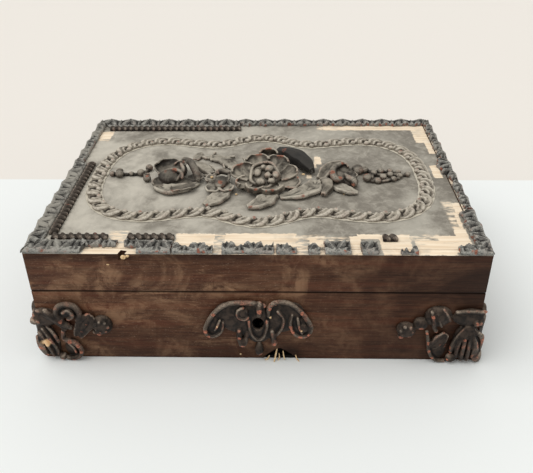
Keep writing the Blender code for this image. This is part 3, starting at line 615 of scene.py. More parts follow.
def ballPart(place, radii, turn=0):
    bpy.ops.object.select_all(action="DESELECT")
    bpy.ops.mesh.primitive_uv_sphere_add(segments=20, ring_count=12, radius=1)
    part = bpy.context.active_object
    shape = Matrix.Translation(Vector(place) * mm) @ Matrix.Rotation(math.radians(turn), 4, "Z")
    part.data.transform(shape @ Matrix.Diagonal((radii[0] * mm, radii[1] * mm, radii[2] * mm, 1)))
    part.matrix_world = Matrix()
    return part


def between(a, b, c, d, t):
    # a smooth curve's value from b to c, with a before it and d after
    return 0.5 * (2 * b + (c - a) * t + (2 * a - 5 * b + 4 * c - d) * t * t
                  + (3 * b - a - 3 * c + d) * t * t * t)


def smoothPath(points, fine):
    # a curve through points of three numbers and a radius
    line = []
    for i in range(len(points) - 1):
        near = [points[min(max(i + k, 0), len(points) - 1)] for k in (-1, 0, 1, 2)]
        for k in range(fine):
            line.append(tuple(between(*four, k / fine) for four in zip(*near)))
    return line + [points[-1]]


def stemPart(points, fine=6, sides=12):
    # a round rod through points with a radius each, closed by rounded ends
    line = smoothPath(points, fine)
    spots, last = [Vector(p[:3]) for p in line], len(line) - 1
    around = [2 * math.pi * k / sides for k in range(sides)]
    sections = []
    for i, spot in enumerate(spots):
        ahead = (spots[min(i + 1, last)] - spots[max(i - 1, 0)]).normalized()
        side = ahead.cross(Vector((0.03, 0.02, 1))).normalized()
        up = side.cross(ahead)
        radius = line[i][3]
        for share, on in [(0.5, -0.8)] * (i == 0) + [(1.0, 0.0)] + [(0.5, 0.8)] * (i == last):
            sections.append([spot + ahead * radius * on + side * math.cos(a) * radius * share
                             + up * math.sin(a) * radius * share for a in around])
    return loftPiece("stem", sections)


def fuse(name, parts, fine, level=None, ease=2):
    # runs the parts of one casting together, softens it as moulding does, and cuts it flat at its level
    piece = joinAs(name, parts)
    remesh = piece.modifiers.new("cast", "REMESH")
    remesh.mode, remesh.voxel_size = "VOXEL", fine * mm
    soften = piece.modifiers.new("soften", "SMOOTH")
    soften.factor, soften.iterations = 0.5, ease
    applyAll(piece)
    if level is not None:
        editAll(piece)
        bpy.ops.mesh.bisect(plane_co=(0, 0, level * mm), plane_no=(0, 0, 1), use_fill=False, clear_inner=True)
        bpy.ops.mesh.select_mode(type="EDGE")
        bpy.ops.mesh.select_all(action="DESELECT")
        bpy.ops.mesh.select_non_manifold(use_wire=False, use_multi_face=False, use_non_contiguous=False,
                                         use_verts=False)
        if piece.data.total_edge_sel:
            bpy.ops.mesh.fill(use_beauty=False)
        bpy.ops.object.mode_set(mode="OBJECT")
    piece.data.shade_smooth()
    return piece


def pieceName(node):
    # the node's name in camelCase
    first, *others = node.split("_")
    return first + "".join(word.capitalize() for word in others)


def ballRow(row):
    # place, radii, and degrees turned if there are any
    return ballPart(row[:3], row[3:6], *row[6:])


def seenBall(row):
    return ballPart(seen(*row[:3]), row[3:6], *row[6:])


def seenStem(rows):
    return stemPart([tuple(seen(x, y, high)) + (radius,) for x, y, high, radius in rows])


def markSeen(piece, rows):
    # red, rubbed places as seen, and how far each reaches
    mark(piece, "worn", spotted([tuple(seen(x, y, high)) + (far,) for x, y, high, far in rows]))


# The plaited ring: commas laid head over tail, a small bump in each crook, and old dust along both sides
# bump: way along, way across from the outer side to the inner, height and radius
ring = {
    "endHalf": 116.9, "sideHalf": 62, "lobes": 57, "perLobe": 12, "voxel": 0.5, "bed": 1, "bedWide": 4.7,
    "dustWide": 5.7, "dustHigh": 0.12,
    "comma": [
        (-9.6, -4.2, 0.5, 0.7), (-6.4, -4, 0.7, 1.3), (-3.2, -2.8, 1.1, 1.8), (-0.9, -0.4, 1.4, 2.1),
        (0.2, 2.4, 1.1, 1.8)],
    "vein": [(-7.6, -1.6, 1, 1.1), (-5, -0.3, 1.5, 1.45), (-3.6, 1.8, 1.4, 1.5), (-3.4, 3.4, 1, 1.2)],
    "bump": (2.9, 3.2, 1, 2),
    "quarter": [
        (0, 1), (0.12, 0.945), (0.225, 0.845), (0.33, 0.805), (0.45, 0.84), (0.57, 0.885), (0.67, 0.895),
        (0.78, 0.855), (0.87, 0.755), (0.94, 0.6), (0.98, 0.41), (0.998, 0.2)],
    "bedInner": 0.8, "dustInner": 0.94, "paleBelow": 0.2, "perCorner": 10,
}


def ringLine(values):
    quarter, fine = values["quarter"], values["perCorner"]
    shares = quarter + [(1.0, 0.0)] + [(x, -y) for x, y in reversed(quarter)]
    shares += [(-x, -y) for x, y in quarter[1:]] + [(-1.0, 0.0)] + [(-x, y) for x, y in reversed(quarter[1:])]
    corners = [Vector((x * values["endHalf"], y * values["sideHalf"])) for x, y in shares]
    line, count = [], len(corners)
    for i in range(count):
        near = [corners[(i + k) % count] for k in (-1, 0, 1, 2)]
        line += [between(*near, k / fine) for k in range(fine)]
    return line


def evenPlaces(line, count):
    # places and directions at even steps round a closed line
    gaps = [(line[(i + 1) % len(line)] - line[i]).length for i in range(len(line))]
    step, places, i, passed = sum(gaps) / count, [], 0, 0.0
    for k in range(count):
        while passed + gaps[i] < k * step:
            passed += gaps[i]
            i += 1
        ahead = (line[(i + 1) % len(line)] - line[i]).normalized()
        places.append((line[i] + ahead * (k * step - passed), ahead))
    return places


def plaitedRing(values):
    per = values["perLobe"]
    places = evenPlaces(ringLine(values), values["lobes"] * per)
    count = len(places)
    step = (places[1][0] - places[0][0]).length

    def laid(lobe, along, across, high):
        # a spot of the comma, bent to follow the ring
        way = (lobe * per - along / step) % count
        i, share = int(way), way % 1
        spot = places[i][0].lerp(places[(i + 1) % count][0], share)
        ahead = places[i][1].lerp(places[(i + 1) % count][1], share).normalized()
        spot = spot + Vector((-ahead.y, ahead.x)) * -across
        return (spot.x, spot.y, surface + high)

    def strip(name, inner, low, high, half):
        # a low band that follows the ring
        sections = []
        for i, (spot, ahead) in enumerate(places):
            across = Vector((-ahead.y, ahead.x))
            outs = [(spot + across * half(i, share), level)
                    for share, level in ((-1, low), (-inner, high), (inner, high), (1, low))]
            sections.append([(out.x, out.y, surface + level) for out, level in outs])
        return loftPiece(name, sections, closedRun=True)

    parts, bumps = [], []
    for lobe in range(values["lobes"]):
        size = 1 + 0.08 * waver(lobe * 2.3, 4.0)
        lift = 0.25 * waver(lobe * 1.7, 9.0)
        for line in (values["comma"], values["vein"]):
            rows = []
            for along, across, high, radius in line:
                spot = laid(lobe, along + 0.35 * waver(lobe * 3.1, along), across * size, high + lift)
                rows.append(spot + (radius * size,))
            parts.append(stemPart(rows, 4, 10))
        along, across, high, radius = values["bump"]
        bumps.append(laid(lobe, along + 0.5 * waver(lobe * 5.3), across * size, high + lift))
        parts.append(ballPart(bumps[-1], (radius * size, radius * size, radius)))
    parts.append(strip("bed", values["bedInner"], -1, values["bed"],
                       lambda i, share: values["bedWide"] * share * (1 + 0.05 * waver(i * 0.4, share))))
    piece = fuse("plaitedRing", parts, values["voxel"], ease=1)
    groundAt(piece, surface)
    halo = strip("halo", values["dustInner"], 0, values["dustHigh"],
                 lambda i, share: values["dustWide"] * share
                 * (1 + 0.10 * waver(i * 0.21, share * 5) + 0.05 * waver(i * 0.9, share)))
    piece = joinAs("plaitedRing", [piece, halo])
    mark(piece, "pale", lambda co: 1.0 if co.z < surface + values["paleBelow"] else 0.0)
    touched = spotted([(x, y, z + 1.0, 1.6 + 1.3 * waver(i * 7.7)) for i, (x, y, z) in enumerate(bumps)])
    mark(piece, "worn", touched)
    settle(piece, "ring", "ring_composition", ["plaited_ring"])


plaitedRing(ring)
print("ring done")


# Edges of the lid, as the frame lays them out: own x runs left to right as one faces the edge from outside
edges = {
    "turn": {"front": 0, "right": 90, "back": 180, "left": 270},
    "wide": {"front": 12.0, "right": 9.4, "back": 12.0, "left": 9.4},
    "reach": {"front": 140.0, "right": 95.0, "back": 140.0, "left": 95.0},
    "face": {"front": 95.0, "right": 140.0, "back": 95.0, "left": 140.0},
    "cover": 21.4, "pitch": 16.45, "phase": -1.5,
}


def toEdge(side, x, inward, high):
    spot = Vector((x, inward - edges["face"][side], surface + high))
    return Matrix.Rotation(math.radians(edges["turn"][side]), 3, "Z") @ spot


# Rope bead: one leaning twist is modelled, and copied along each run
bead = {
    "wide": 6.2, "high": 3.5, "pitch": 4.7, "gap": 0.5, "lean": -36.0, "long": 3.5, "short": 1.9,
    "lift": 1.1, "bow": 0.35, "waist": 0.12, "bedHigh": 1.6, "bedShare": 0.84, "rubbedFrom": 2.6,
    "runs": {   # side, start and end as shares of half the side
        "bead_front_1": ("front", -0.905, -0.655), "bead_front_2": ("front", -0.570, -0.362),
        "bead_front_3": ("front", 0.548, 0.612), "bead_back": ("back", 0.130, 0.915),
        "bead_left": ("left", -0.180, 0.800),
    },
}


def makeTwist(values):
    bpy.ops.object.select_all(action="DESELECT")
    bpy.ops.mesh.primitive_uv_sphere_add(segments=14, ring_count=9, radius=mm)
    twist = bpy.context.active_object
    bpy.ops.object.mode_set(mode="EDIT")
    bpy.ops.mesh.select_all(action="SELECT")
    bpy.ops.transform.resize(value=(values["short"], values["long"], values["high"] - values["lift"]))
    bpy.ops.object.mode_set(mode="OBJECT")
    for point in twist.data.vertices:
        spot = point.co / mm
        share = spot.y / values["long"]
        x = spot.x + values["bow"] * share ** 2 - values["waist"] * spot.x * abs(share)   # bowed, thin-ended
        point.co = Vector((x, spot.y, spot.z + values["lift"])) * mm
    return twist


def ropeRun(node, side, start, end, twist, values):
    reach = edges["reach"][side]
    first, last = start * reach, end * reach
    count = max(2, round((last - first) / values["pitch"]))
    inset = edges["wide"][side] + values["gap"] + values["wide"] / 2
    parts = []
    for i in range(count):
        copy = bpy.data.objects.new("twist", twist.data.copy())
        bpy.context.scene.collection.objects.link(copy)
        x = first + (last - first) * (i + 0.5) / count
        size = 1 + 0.06 * waver(x * 0.7, 4.0, len(node))
        turn = Matrix.Rotation(math.radians(-values["lean"] + 5 * waver(x * 0.5, 8.0)), 3, "Z")
        for point in copy.data.vertices:
            spot = turn @ (point.co / mm) * size
            point.co = toEdge(side, x + spot.x, inset + spot.y, max(0.0, spot.z)) * mm
        parts.append(copy)
    half = values["wide"] / 2 * values["bedShare"]
    top, high = half * 0.8, values["bedHigh"]
    outline = ((-half, 0), (-top, high), (top, high), (half, 0))
    parts.append(loftPiece("bed", [[toEdge(side, x, inset + across, up) for across, up in outline]
                                   for x in (first + 0.2, last - 0.2)]))
    piece = joinAs("ropeBead_" + node[5:], parts)
    outward(piece)
    smoothShade(piece, 60)
    mark(piece, "worn", lambda co: 0.7 * max(0.0, waver(co.x * 0.3, co.y * 0.3, 1.0) * 1.8)
         * max(0.0, (co.z - surface - values["rubbedFrom"]) / 0.8))
    settle(piece, "bead", "bead_composition", [node])


twist = makeTwist(bead)
for node, (side, start, end) in bead["runs"].items():
    ropeRun(node, side, start, end, twist, bead)
bpy.data.objects.remove(twist, do_unlink=True)
print("beads done")


# Leaf border: pairs of leaves spread from a point on the edge, with a bud between pairs
border = {
    "high": 3.2, "overhang": 0.6, "step": 0.45, "across": 22, "ground": 0.58, "fullWidth": 12,
    "edgeFall": 0.7, "rubReach": 3.2,
    "dusty": {"border_left": 0.44, "border_front_1": 0.34, "border_right_3": 0.34, "border_back": 0.24},
    "leaves": [   # foot x, foot depth, tip x, tip depth, half width, height
        (0.6, 0.8, 5.6, 11.0, 2.5, 1.0), (-0.6, 0.8, -5.6, 11.0, 2.5, 1.0),
        (1.2, 0.2, 6.6, 3.4, 1.7, 0.88), (-1.2, 0.2, -6.6, 3.4, 1.7, 0.88),
        (8.2, 9.6, 8.2, 1.2, 1.9, 0.80), (-8.2, 9.6, -8.2, 1.2, 1.9, 0.80),
        (0.0, 12.0, 0.0, 5.2, 1.5, 0.62),
    ],
    # node: side, start, end, outer edge steps, inner edge steps, raggedness, mitred ends
    "runs": {
        "border_front_1": ("front", -0.9965, -0.605, [(-1, 0.0), (-0.75, 0.52)], [(-1, 1)], 0.03, (1, 0)),
        "border_front_2": ("front", -0.570, -0.362, [(-1, 0.5), (-0.51, 0.0)], [(-1, 1)], 0.03, (0, 0)),
        "border_front_3": ("front", -0.355, -0.185, [(-1, 0)], [(-1, 0.62)], 0.26, (0, 0)),
        "border_front_4": ("front", -0.145, 0.075, [(-1, 0)], [(-1, 0.70)], 0.28, (0, 0)),
        "border_front_5": ("front", 0.088, 0.172, [(-1, 0)], [(-1, 0.52)], 0.24, (0, 0)),
        "border_front_6": ("front", 0.222, 0.272, [(-1, 0)], [(-1, 0.58)], 0.16, (0, 0)),
        "border_front_7": ("front", 0.292, 0.402, [(-1, 0)], [(-1, 0.97)], 0.05, (0, 0)),
        "border_front_8": ("front", 0.448, 0.518, [(-1, 0)], [(-1, 0.95)], 0.05, (0, 0)),
        "border_front_9": ("front", 0.612, 0.682, [(-1, 0)], [(-1, 0.36)], 0.30, (0, 0)),
        "border_front_10": ("front", 0.860, 0.9965, [(-1, 0)], [(-1, 0.62)], 0.10, (0, 1)),
        "border_right_1": ("right", -0.9965, -0.520, [(-1, 0)], [(-1, 0.92)], 0.12, (1, 0)),
        "border_right_2": ("right", -0.5, 0.3, [(-1, 0)], [(-1, 0.5), (0.03, 0.95), (0.25, 0.5)], 0.16,
                           (0, 0)),
        "border_right_3": ("right", 0.320, 0.9965, [(-1, 0)], [(-1, 0.55)], 0.18, (0, 1)),
        "border_back": ("back", -0.9965, 0.9965, [(-1, 0)], [(-1, 0.66), (0.15, 1.0)], 0.10, (1, 1)),
        "border_left": ("left", -0.9965, 0.9965, [(-1, 0)], [(-1, 0.68), (-0.2, 1.0)], 0.04, (1, 1)),
    },
}


def stepped(table, x):
    value = table[0][1]
    for start, share in table:
        if x >= start:
            value = share
    return value


def leafRelief(x, depth, values):
    # height of the carved leaves, as a share of the border's height
    x = x - edges["phase"]
    x -= edges["pitch"] * round(x / edges["pitch"])
    best = values["ground"] + 0.05 * waver(x * 0.8, depth * 0.8, 6.0)
    for footX, footY, tipX, tipY, half, high in values["leaves"]:
        run = Vector((tipX - footX, tipY - footY))
        off = Vector((x - footX, depth - footY))
        along = off.dot(run) / run.length_squared
        if -0.1 < along < 1.1:
            across = abs(off.x * run.y - off.y * run.x) / run.length
            wide = half * math.sin(math.pi * min(1.0, max(0.0, 0.10 + along * 0.86))) ** 0.7
            if across < wide:
                dome = math.sqrt(1 - (across / wide) ** 2)
                rib = 0.10 * math.exp(-(across / 0.35) ** 2)
                veins = 0.055 * math.cos(2 * math.pi * (along * run.length + across * 0.9) / 1.7)
                best = max(best, high * (0.58 + 0.38 * dome) + (rib + veins) * dome)
    return best


def borderRun(node, side, start, end, outer, inner, ragged, mitres, values):
    wide, reach = edges["wide"][side], edges["reach"][side]
    slope = (edges["cover"] - wide) / wide
    first, last = start * reach, end * reach
    steps = max(6, round((last - first) / values["step"]))
    rows = values["across"]
    seed = len(node) * 3.7 + start * 11
    grid, torn = [], []
    for i in range(steps + 1):
        share = i / steps
        x = first + (last - first) * share
        near = stepped(outer, x / reach) * wide
        far = stepped(inner, x / reach) * wide
        roughNear, roughFar = near > 0.1, far < wide * 0.97
        lobe = 0.5 + 0.5 * math.cos(2 * math.pi * (x - edges["phase"]) / edges["pitch"])
        if roughNear:
            near += (ragged + 0.08) * wide * waver(x * 0.5, seed, 2.0)
        else:
            near -= values["overhang"] * lobe
        if roughFar:
            peak = (lobe - 0.5) * ragged * 1.1
            far += (peak + (ragged * 0.8 + 0.03) * waver(x * 0.55, seed)) * wide
        for j in range(rows + 1):
            depth = near + (far - near) * j / rows
            begin = first + (depth * slope if mitres[0] else 0.7 * waver(depth * 0.8, seed, 5.0))
            finish = last - (depth * slope if mitres[1] else 0.7 * waver(depth * 0.8, seed, 9.0))
            spotX = begin + (finish - begin) * share
            high = leafRelief(spotX, depth * values["fullWidth"] / wide, values) * values["high"]
            inside = min(depth - near, far - depth) / values["edgeFall"]
            if inside < 1:
                high *= 0.55 + 0.45 * max(0.0, inside)
            grid.append(toEdge(side, spotX, depth, high))
            broken = (roughFar and j >= rows - 1) or (roughNear and j <= 1)
            broken = broken or (share in (0, 1) and not mitres[0 if share == 0 else 1])
            torn.append(1.0 if broken else 0.0)
    count = len(grid)
    floor = [Vector((spot.x, spot.y, surface)) for spot in grid]
    line = rows + 1
    faces = [(a, a + line, a + line + 1, a + 1)
             for i in range(steps) for a in range(i * line, i * line + rows)]
    outline = [i * line for i in range(steps + 1)] + [steps * line + j for j in range(1, line)]
    outline += [i * line + rows for i in range(steps - 1, -1, -1)] + [j for j in range(rows - 1, 0, -1)]
    for i, a in enumerate(outline):
        b = outline[(i + 1) % len(outline)]
        faces.append((b, a, count + a, count + b))
    faces += [tuple(count + k for k in reversed(face)) for face in faces[:steps * rows]]
    piece = meshPiece("leafBorder_" + node[7:], grid + floor, faces)
    outward(piece)
    smoothShade(piece, 60)
    dusty = values["dusty"].get(node, 0.0)
    mark(piece, "pale", lambda co: dusty * (1 + 0.6 * waver(co.x * 0.07, co.y * 0.07, 3.0)))
    rubs = []
    for i, spot in enumerate(grid + floor):
        inFromFace = edges["face"][side] - abs(spot.y if side in ("front", "back") else spot.x)
        coarse, fine = (waver(spot.x * scale, spot.y * scale, 7.0) for scale in (0.16, 0.6))
        rubbed = max(0.0, 1 - inFromFace / values["rubReach"]) * (0.22 + 0.8 * coarse + 0.5 * fine)
        rubbed = rubbed if i < count else 0.0
        rubs.append(max(torn[i % count] * (0.40 + 0.6 * waver(spot.x * 0.3, spot.y * 0.3)), rubbed, 0.0))
    layer = piece.data.attributes.new("worn", "FLOAT", "POINT")
    layer.data.foreach_set("value", rubs)
    settle(piece, "border", "border_composition", [node])


for node, run in border["runs"].items():
    borderRun(node, *run, border)
print("border done")


def bent(foot, bend, tip, v):
    # along a blade's middle line, from its foot at 0 to its tip at 1
    return foot * (1 - v) ** 2 + bend * 2 * v * (1 - v) + tip * v * v


def bentSide(foot, bend, tip, v):
    # square to that line, over the wood
    ahead = ((bend - foot) * (1 - v) + (tip - bend) * v).normalized()
    return Vector((-ahead.y, ahead.x, 0))


def petalPart(foot, belly, tip, half, cup, roll, thick=1.5):
    # a petal from its foot over its belly to its tip, cupped across, with a rolled rim
    base, belly, tip = seen(*foot), seen(*belly), seen(*tip)
    flat = tip - base
    flat = Vector((flat.x, flat.y, 0)).normalized()
    side = Vector((-flat.y, flat.x, 0))

    def shape(u, v):
        spine = bent(base, belly, tip, v)
        wide = half * (0.52 + 0.52 * math.sin(math.pi * v * 0.60))
        drawnIn = 1 - 0.24 * u ** 4 * v * v
        lift = cup * (u * u - 0.25) * v
        rim = roll * math.exp(-((1 - max(v, abs(u) ** 1.5)) / 0.12) ** 2)
        fold = 0.42 * math.cos(u * 10 + half) * math.sin(math.pi * min(1, 0.1 + v)) - 0.3 * (1 - u * u) * v
        spot = base + (spine - base) * drawnIn + side * u * wide * math.cos(0.35 * u)
        spot += Vector((-flat.x, -flat.y, 0)) * (lift * 0.9 + fold)
        return spot + Vector((0, 0, 0.3 * lift + rim * 0.7 + 0.25 * math.cos(u * 7 + half) * v * v))
    return sheetPart(18, 18, thick, shape)


# The rose: a heart of balls in a cup that faces forward, ringed by petals that stand highest at the back
# petals: foot, belly and tip as seen, half width, cup and rolled rim
rose = {
    "petals": [
        ((4, 8, 5), (6, 30, 3), (5.5, 43, 13.2), 7, -1.2, 1),
        ((-1, 2, 6), (-5, 20, 6.5), (-3, 34, 12.8), 8.8, 0.8, 0.6),
        ((8, 2, 6), (15, 18, 6.5), (13.5, 32, 12.4), 8.4, 0.8, 0.6),
        ((-6, -4, 5), (-18, 4, 5), (-16, 18, 10.8), 9.2, 0.9, 0.6),
        ((12, -4, 5), (23, 5, 4.5), (22, 17, 9.2), 8.7, 0.9, 0.5),
        ((12, -10, 4), (24, -12, 1), (27, -3, 5), 10, 1.2, 1),
        ((-5, -12, 4), (-17, -16, 1), (-16, -6, 6.2), 6.5, 2.4, 1.1),
        ((-1, -15, 3), (-6, -29, 1.5), (-5, -17, 7.4), 6.6, 2.6, 1),
        ((6, -15, 3), (12, -30, 1.5), (10, -19, 6.8), 8.4, 2.4, 1)],
    "bodies": [(3.5, -8, 2, 13, 13, 7), (4, 8, 2, 10, 9, 6), (3.5, -12, 1, 18, 15, 3.5)],
    "cupPlace": (3.2, -13.4, 8.2), "cupTilt": 27, "cupRadius": (9.6, 10.4), "cupRim": 1.5,
    "balls": [
        (-2.2, 4, 8.6, 2.9, 3.9, 2.8), (6.2, 10, 11, 3.3, 3.3, 3), (11, 1, 8.6, 2.7, 3.9, 2.8),
        (5.2, 0.5, 8.8, 2.5, 2.5, 2.4), (0.2, -9.5, 6.2, 3.3, 3, 2.8), (8.2, -8, 6.4, 2.8, 2.5, 2.4),
        (2, 12.5, 11.2, 2.4, 2.2, 2.2)],
    "worn": [
        (-2.5, 34, 13.4, 4.2), (14, 32, 13, 3.8), (-16.5, 19, 11.4, 4.6), (5, 44.5, 14, 3.6),
        (5, 11, 13.8, 3.2), (-9, -11, 7, 1.8), (-3, -19, 7.8, 2.4), (4.5, -22, 7, 2), (9, -19.5, 7.6, 2.2),
        (27, -2, 5.6, 1.9), (-16, -6, 6.8, 2.2), (20, -14, 4.6, 1.6)],
    "voxel": 0.42, "rimPoints": 40, "rimSides": 10, "rimTall": 1.35, "rimSink": 0.4,
}


def makeRose(values):
    parts = [petalPart(*petal) for petal in values["petals"]]
    parts += [ballPart((x, y, surface + high), radii) for x, y, high, *radii in values["bodies"]]
    middle = Vector(values["cupPlace"]) + Vector((0, 0, surface))
    tilt = Matrix.Rotation(math.radians(values["cupTilt"]), 3, "X")
    up = tilt @ Vector((0, 0, 1))
    wide, deep = values["cupRadius"]
    thick, tall = values["cupRim"], values["cupRim"] * values["rimTall"]
    sections = []
    for k in range(values["rimPoints"]):
        angle = 2 * math.pi * k / values["rimPoints"]
        wave = 1 + 0.05 * math.cos(5 * angle + 0.6)
        spot = middle + tilt @ Vector((wide * math.cos(angle) * wave, deep * math.sin(angle) * wave, 0))
        away = (spot - middle).normalized()
        around = [2 * math.pi * j / values["rimSides"] for j in range(values["rimSides"])]
        sections.append([spot + away * (math.cos(a) * thick) + up * (math.sin(a) * tall - values["rimSink"])
                         for a in around])
    parts.append(loftPiece("cup", sections, closedRun=True))
    parts += [seenBall(row) for row in values["balls"]]
    piece = fuse("roseHead", parts, values["voxel"], surface)
    markSeen(piece, values["worn"])
    settle(piece, "spray", "spray_composition", ["rose"])


makeRose(rose)
print("rose done")


# Leaves: each is a blade with a raised rim, a sunk or raised middle and side veins
leafBlades = {   # node: foot, bend and tip across the lid, width, height, hollow, veins, slot, red tip
    "leaf_behind_rose": ((37, 1), (31, 17), (13, 29), 12.0, 9.4, -0.12, 0, "sooty", (18, 40, 9.0, 3.4)),
    "leaf_right_boat": ((43, -7), (49, 9), (60.5, 17.5), 10.0, 6.2, 0.62, 0, "spray", None),
    "leaf_right_cup": ((38.5, -9), (40, -27), (14, -32), 14.0, 4.6, 0.55, 3, "worn", (30, -27, 4.2, 3.0)),
    "leaf_right_curl": ((44, -8), (50, -18), (43, -30), 7.4, 5.2, -0.1, 0, "spray", (41, -10, 5.5, 2.2)),
    "leaf_right_low": ((52, -13), (56, -24), (67, -25.5), 9.0, 3.8, 0.30, 3, "worn", (65, -24, 3.0, 2.2)),
    "leaf_front_middle": ((8, -26), (7, -41), (-7.5, -45), 12.5, 4.6, 0.30, 4, "worn", (-6, -41, 3.6, 3.2)),
    "leaf_front_left": ((-23, -22), (-27, -36), (-36, -42), 11.8, 3.8, 0.25, 5, "worn",
                        (-35, -39.5, 2.6, 2.4)),
    "leaf_bud_front": ((-71, -17), (-60, -31), (-43, -13), 11.0, 4.6, 0.55, 3, "worn", (-61, -23, 4.0, 2.0)),
    "leaf_ribbed": ((-35, 1), (-41, 9), (-51, 20), 7.0, 3.4, -0.05, 6, "worn", None),
    "leaf_back_left": ((-16, 6), (-25, 26), (-42, 27), 10.0, 2.8, 0.2, 4, "worn", None),
    "leaf_back_bud": ((-49.5, 23.5), (-48, 29), (-46, 35), 5.4, 2.2, 0.1, 3, "worn", None),
}

# Thin stems cast with a leaf: x and y as seen, height and radius
sprigs = {
    "leaf_back_left": [
        [(-27, 12, 1, 0.8), (-28, 17, 1.8, 0.9), (-25, 22, 2.2, 0.9), (-20, 24, 1.6, 0.8)],
        [(-24, 12, 1, 0.8), (-22, 17, 1.8, 0.8), (-18.5, 20, 1.4, 0.7)],
        [(-38, 24, 1.4, 0.9), (-38.5, 31, 2, 1), (-36, 37, 1.2, 1.1)],
        [(-42, 27, 1.2, 1), (-45, 30, 1.6, 1.2)],
        [(-33, 26, 1.2, 0.8), (-27, 29, 1.6, 0.9), (-21, 30, 1.2, 1.2)],
        [(-16, 14, 1.4, 0.8), (-12, 21, 2.4, 0.9), (-14, 28, 1.6, 0.8)]],
    "leaf_ribbed": [
        [(-34, -2, 1, 0.8), (-38, 4, 1.6, 0.9), (-44, 9, 1.4, 0.8)],
        [(-31, 3, 1, 0.8), (-34, 10, 1.6, 0.9), (-38, 16, 1.2, 0.8)]],
}


leafSheet = {"grid": (22, 30), "thick": 1.5, "underThick": 0.1, "underDrop": 0.6, "underDepth": 0.75,
             "voxel": 0.42}
stretch = 1.008   # leaves and berries are drawn out this much along the box


def makeLeaf(node, foot, bend, tip, wide, high, hollow, veins, kind, red):
    foot, bend, tip = (Vector((x * stretch, y, 0)) for x, y in (foot, bend, tip))
    half, seed = wide / 2 * stretch, len(node) * 1.7
    dark = kind == "sooty"
    begin, rest = (0.03, 0.85) if dark else (0.14, 0.83)
    grid, thick = leafSheet["grid"], leafSheet["thick"]

    def shape(u, v):
        spread = half * (0.10 + 0.92 * math.sin(math.pi * (begin + rest * v)) ** 0.8)
        edge = 1 + (0.07 * math.cos(v * 19 + seed) + 0.05 * waver(v * 5, seed, u)) * abs(u)
        level = 0.62 + 0.38 * math.sin(math.pi * v)
        if dark:
            level = 0.30 + 0.72 * math.sin(math.pi * (0.12 + 0.62 * v))
        rise = high * level * (1 + 0.08 * waver(v * 3, u, seed))
        rim = 1 - hollow * (1 - abs(u) ** 1.6) - 0.55 * max(0.0, (abs(u) - 0.78) / 0.22) ** 2
        rib = 0.35 * math.exp(-(u / 0.13) ** 2) * (1 if hollow > 0 else 0.4) * (not dark)
        veined = 0.26 * math.cos(math.pi * 2 * (v * veins + abs(u) * 0.9)) * (1 - abs(u)) if veins else 0.0
        lifted = Vector((0, 0, surface + rise * rim - 0.7 + rib + veined))
        return bent(foot, bend, tip, v) + bentSide(foot, bend, tip, v) * spread * u * edge + lifted

    under = sheetPart(*grid, leafSheet["underThick"], lambda u, v: shape(u * 0.93, 0.03 + v * 0.94))
    for point in under.data.vertices:
        point.co.z -= leafSheet["underDrop"] * mm
    editAll(under)
    drop = (0, 0, -high * leafSheet["underDepth"] * mm)
    bpy.ops.mesh.extrude_region_move(TRANSFORM_OT_translate={"value": drop})
    bpy.ops.object.mode_set(mode="OBJECT")
    parts = [sheetPart(*grid, thick, shape), under] + [seenStem(stem) for stem in sprigs.get(node, [])]
    piece = fuse(pieceName(node), parts, leafSheet["voxel"], surface, 1)
    markSeen(piece, [red] if red else [])
    settle(piece, kind, "worn_composition" if kind == "worn" else "spray_composition", [node])


for node, blade in leafBlades.items():
    makeLeaf(node, *blade)
print("leaves done")


# The rosebud at the left: a globe, a hollow petal behind it, an arched petal and a low one in front
# Balls: place as seen, radii, degrees turned. Stems: place as seen, radius. Worn: place as seen, reach
rosebud = {
    "balls": [
        (-65.5, -1, 4.4, 8.2, 8.4, 5, 20), (-62, 8, 3, 8, 7.5, 5.5), (-54, -10, 1.5, 7.5, 6, 2.2),
        (-67, -8, 1.6, 7, 6, 3.6)],
    "petals": [
        ((-67, 0, 5), (-75, 13, 4), (-69, 25, 9.6), 8.6, 2.6, 1.4),
        ((-60, 2, 5), (-62, 12, 6), (-60, 22, 10.4), 4.2, 1.8, 1.1),
        ((-58, -8, 2.5), (-54, -16, 1.8), (-53, -21, 3.4), 9.5, -1.2, 1),
        ((-66, -12, 2), (-73, -12, 1), (-76, -6, 3.2), 6, 1.2, 0.9),
        ((-52, -4, 2), (-47, -4, 1.5), (-42, 0, 2.6), 6, 1, 0.8)],
    "stems": [
        [(-59, 25, 8.5, 2.2), (-54, 22, 10, 2.6), (-50, 13, 10.2, 2.8), (-47, 4, 8.2, 2.6),
         (-44.5, -6, 4.6, 2)],
        [(-74, 2, 6.4, 1.1), (-70, 7, 8.6, 1.4), (-64, 9, 9.6, 1.6), (-58.5, 5, 9, 1.5),
         (-56.5, -3, 6.5, 1.2)],
        [(-60, 18, 9.6, 1.3), (-57.5, 10, 9.4, 1.5), (-58, 1, 7.6, 1.4), (-60.5, -7, 4.6, 1.2)],
        [(-40, 0, 1.8, 1.4), (-36, -1, 1.6, 1.2), (-33, 3, 1.2, 1)]],
    "worn": [(-64, 9, 10.4, 3), (-70, 6, 9, 2), (-61, -20, 4.2, 2), (-59, 21, 10.6, 2.2)],
}
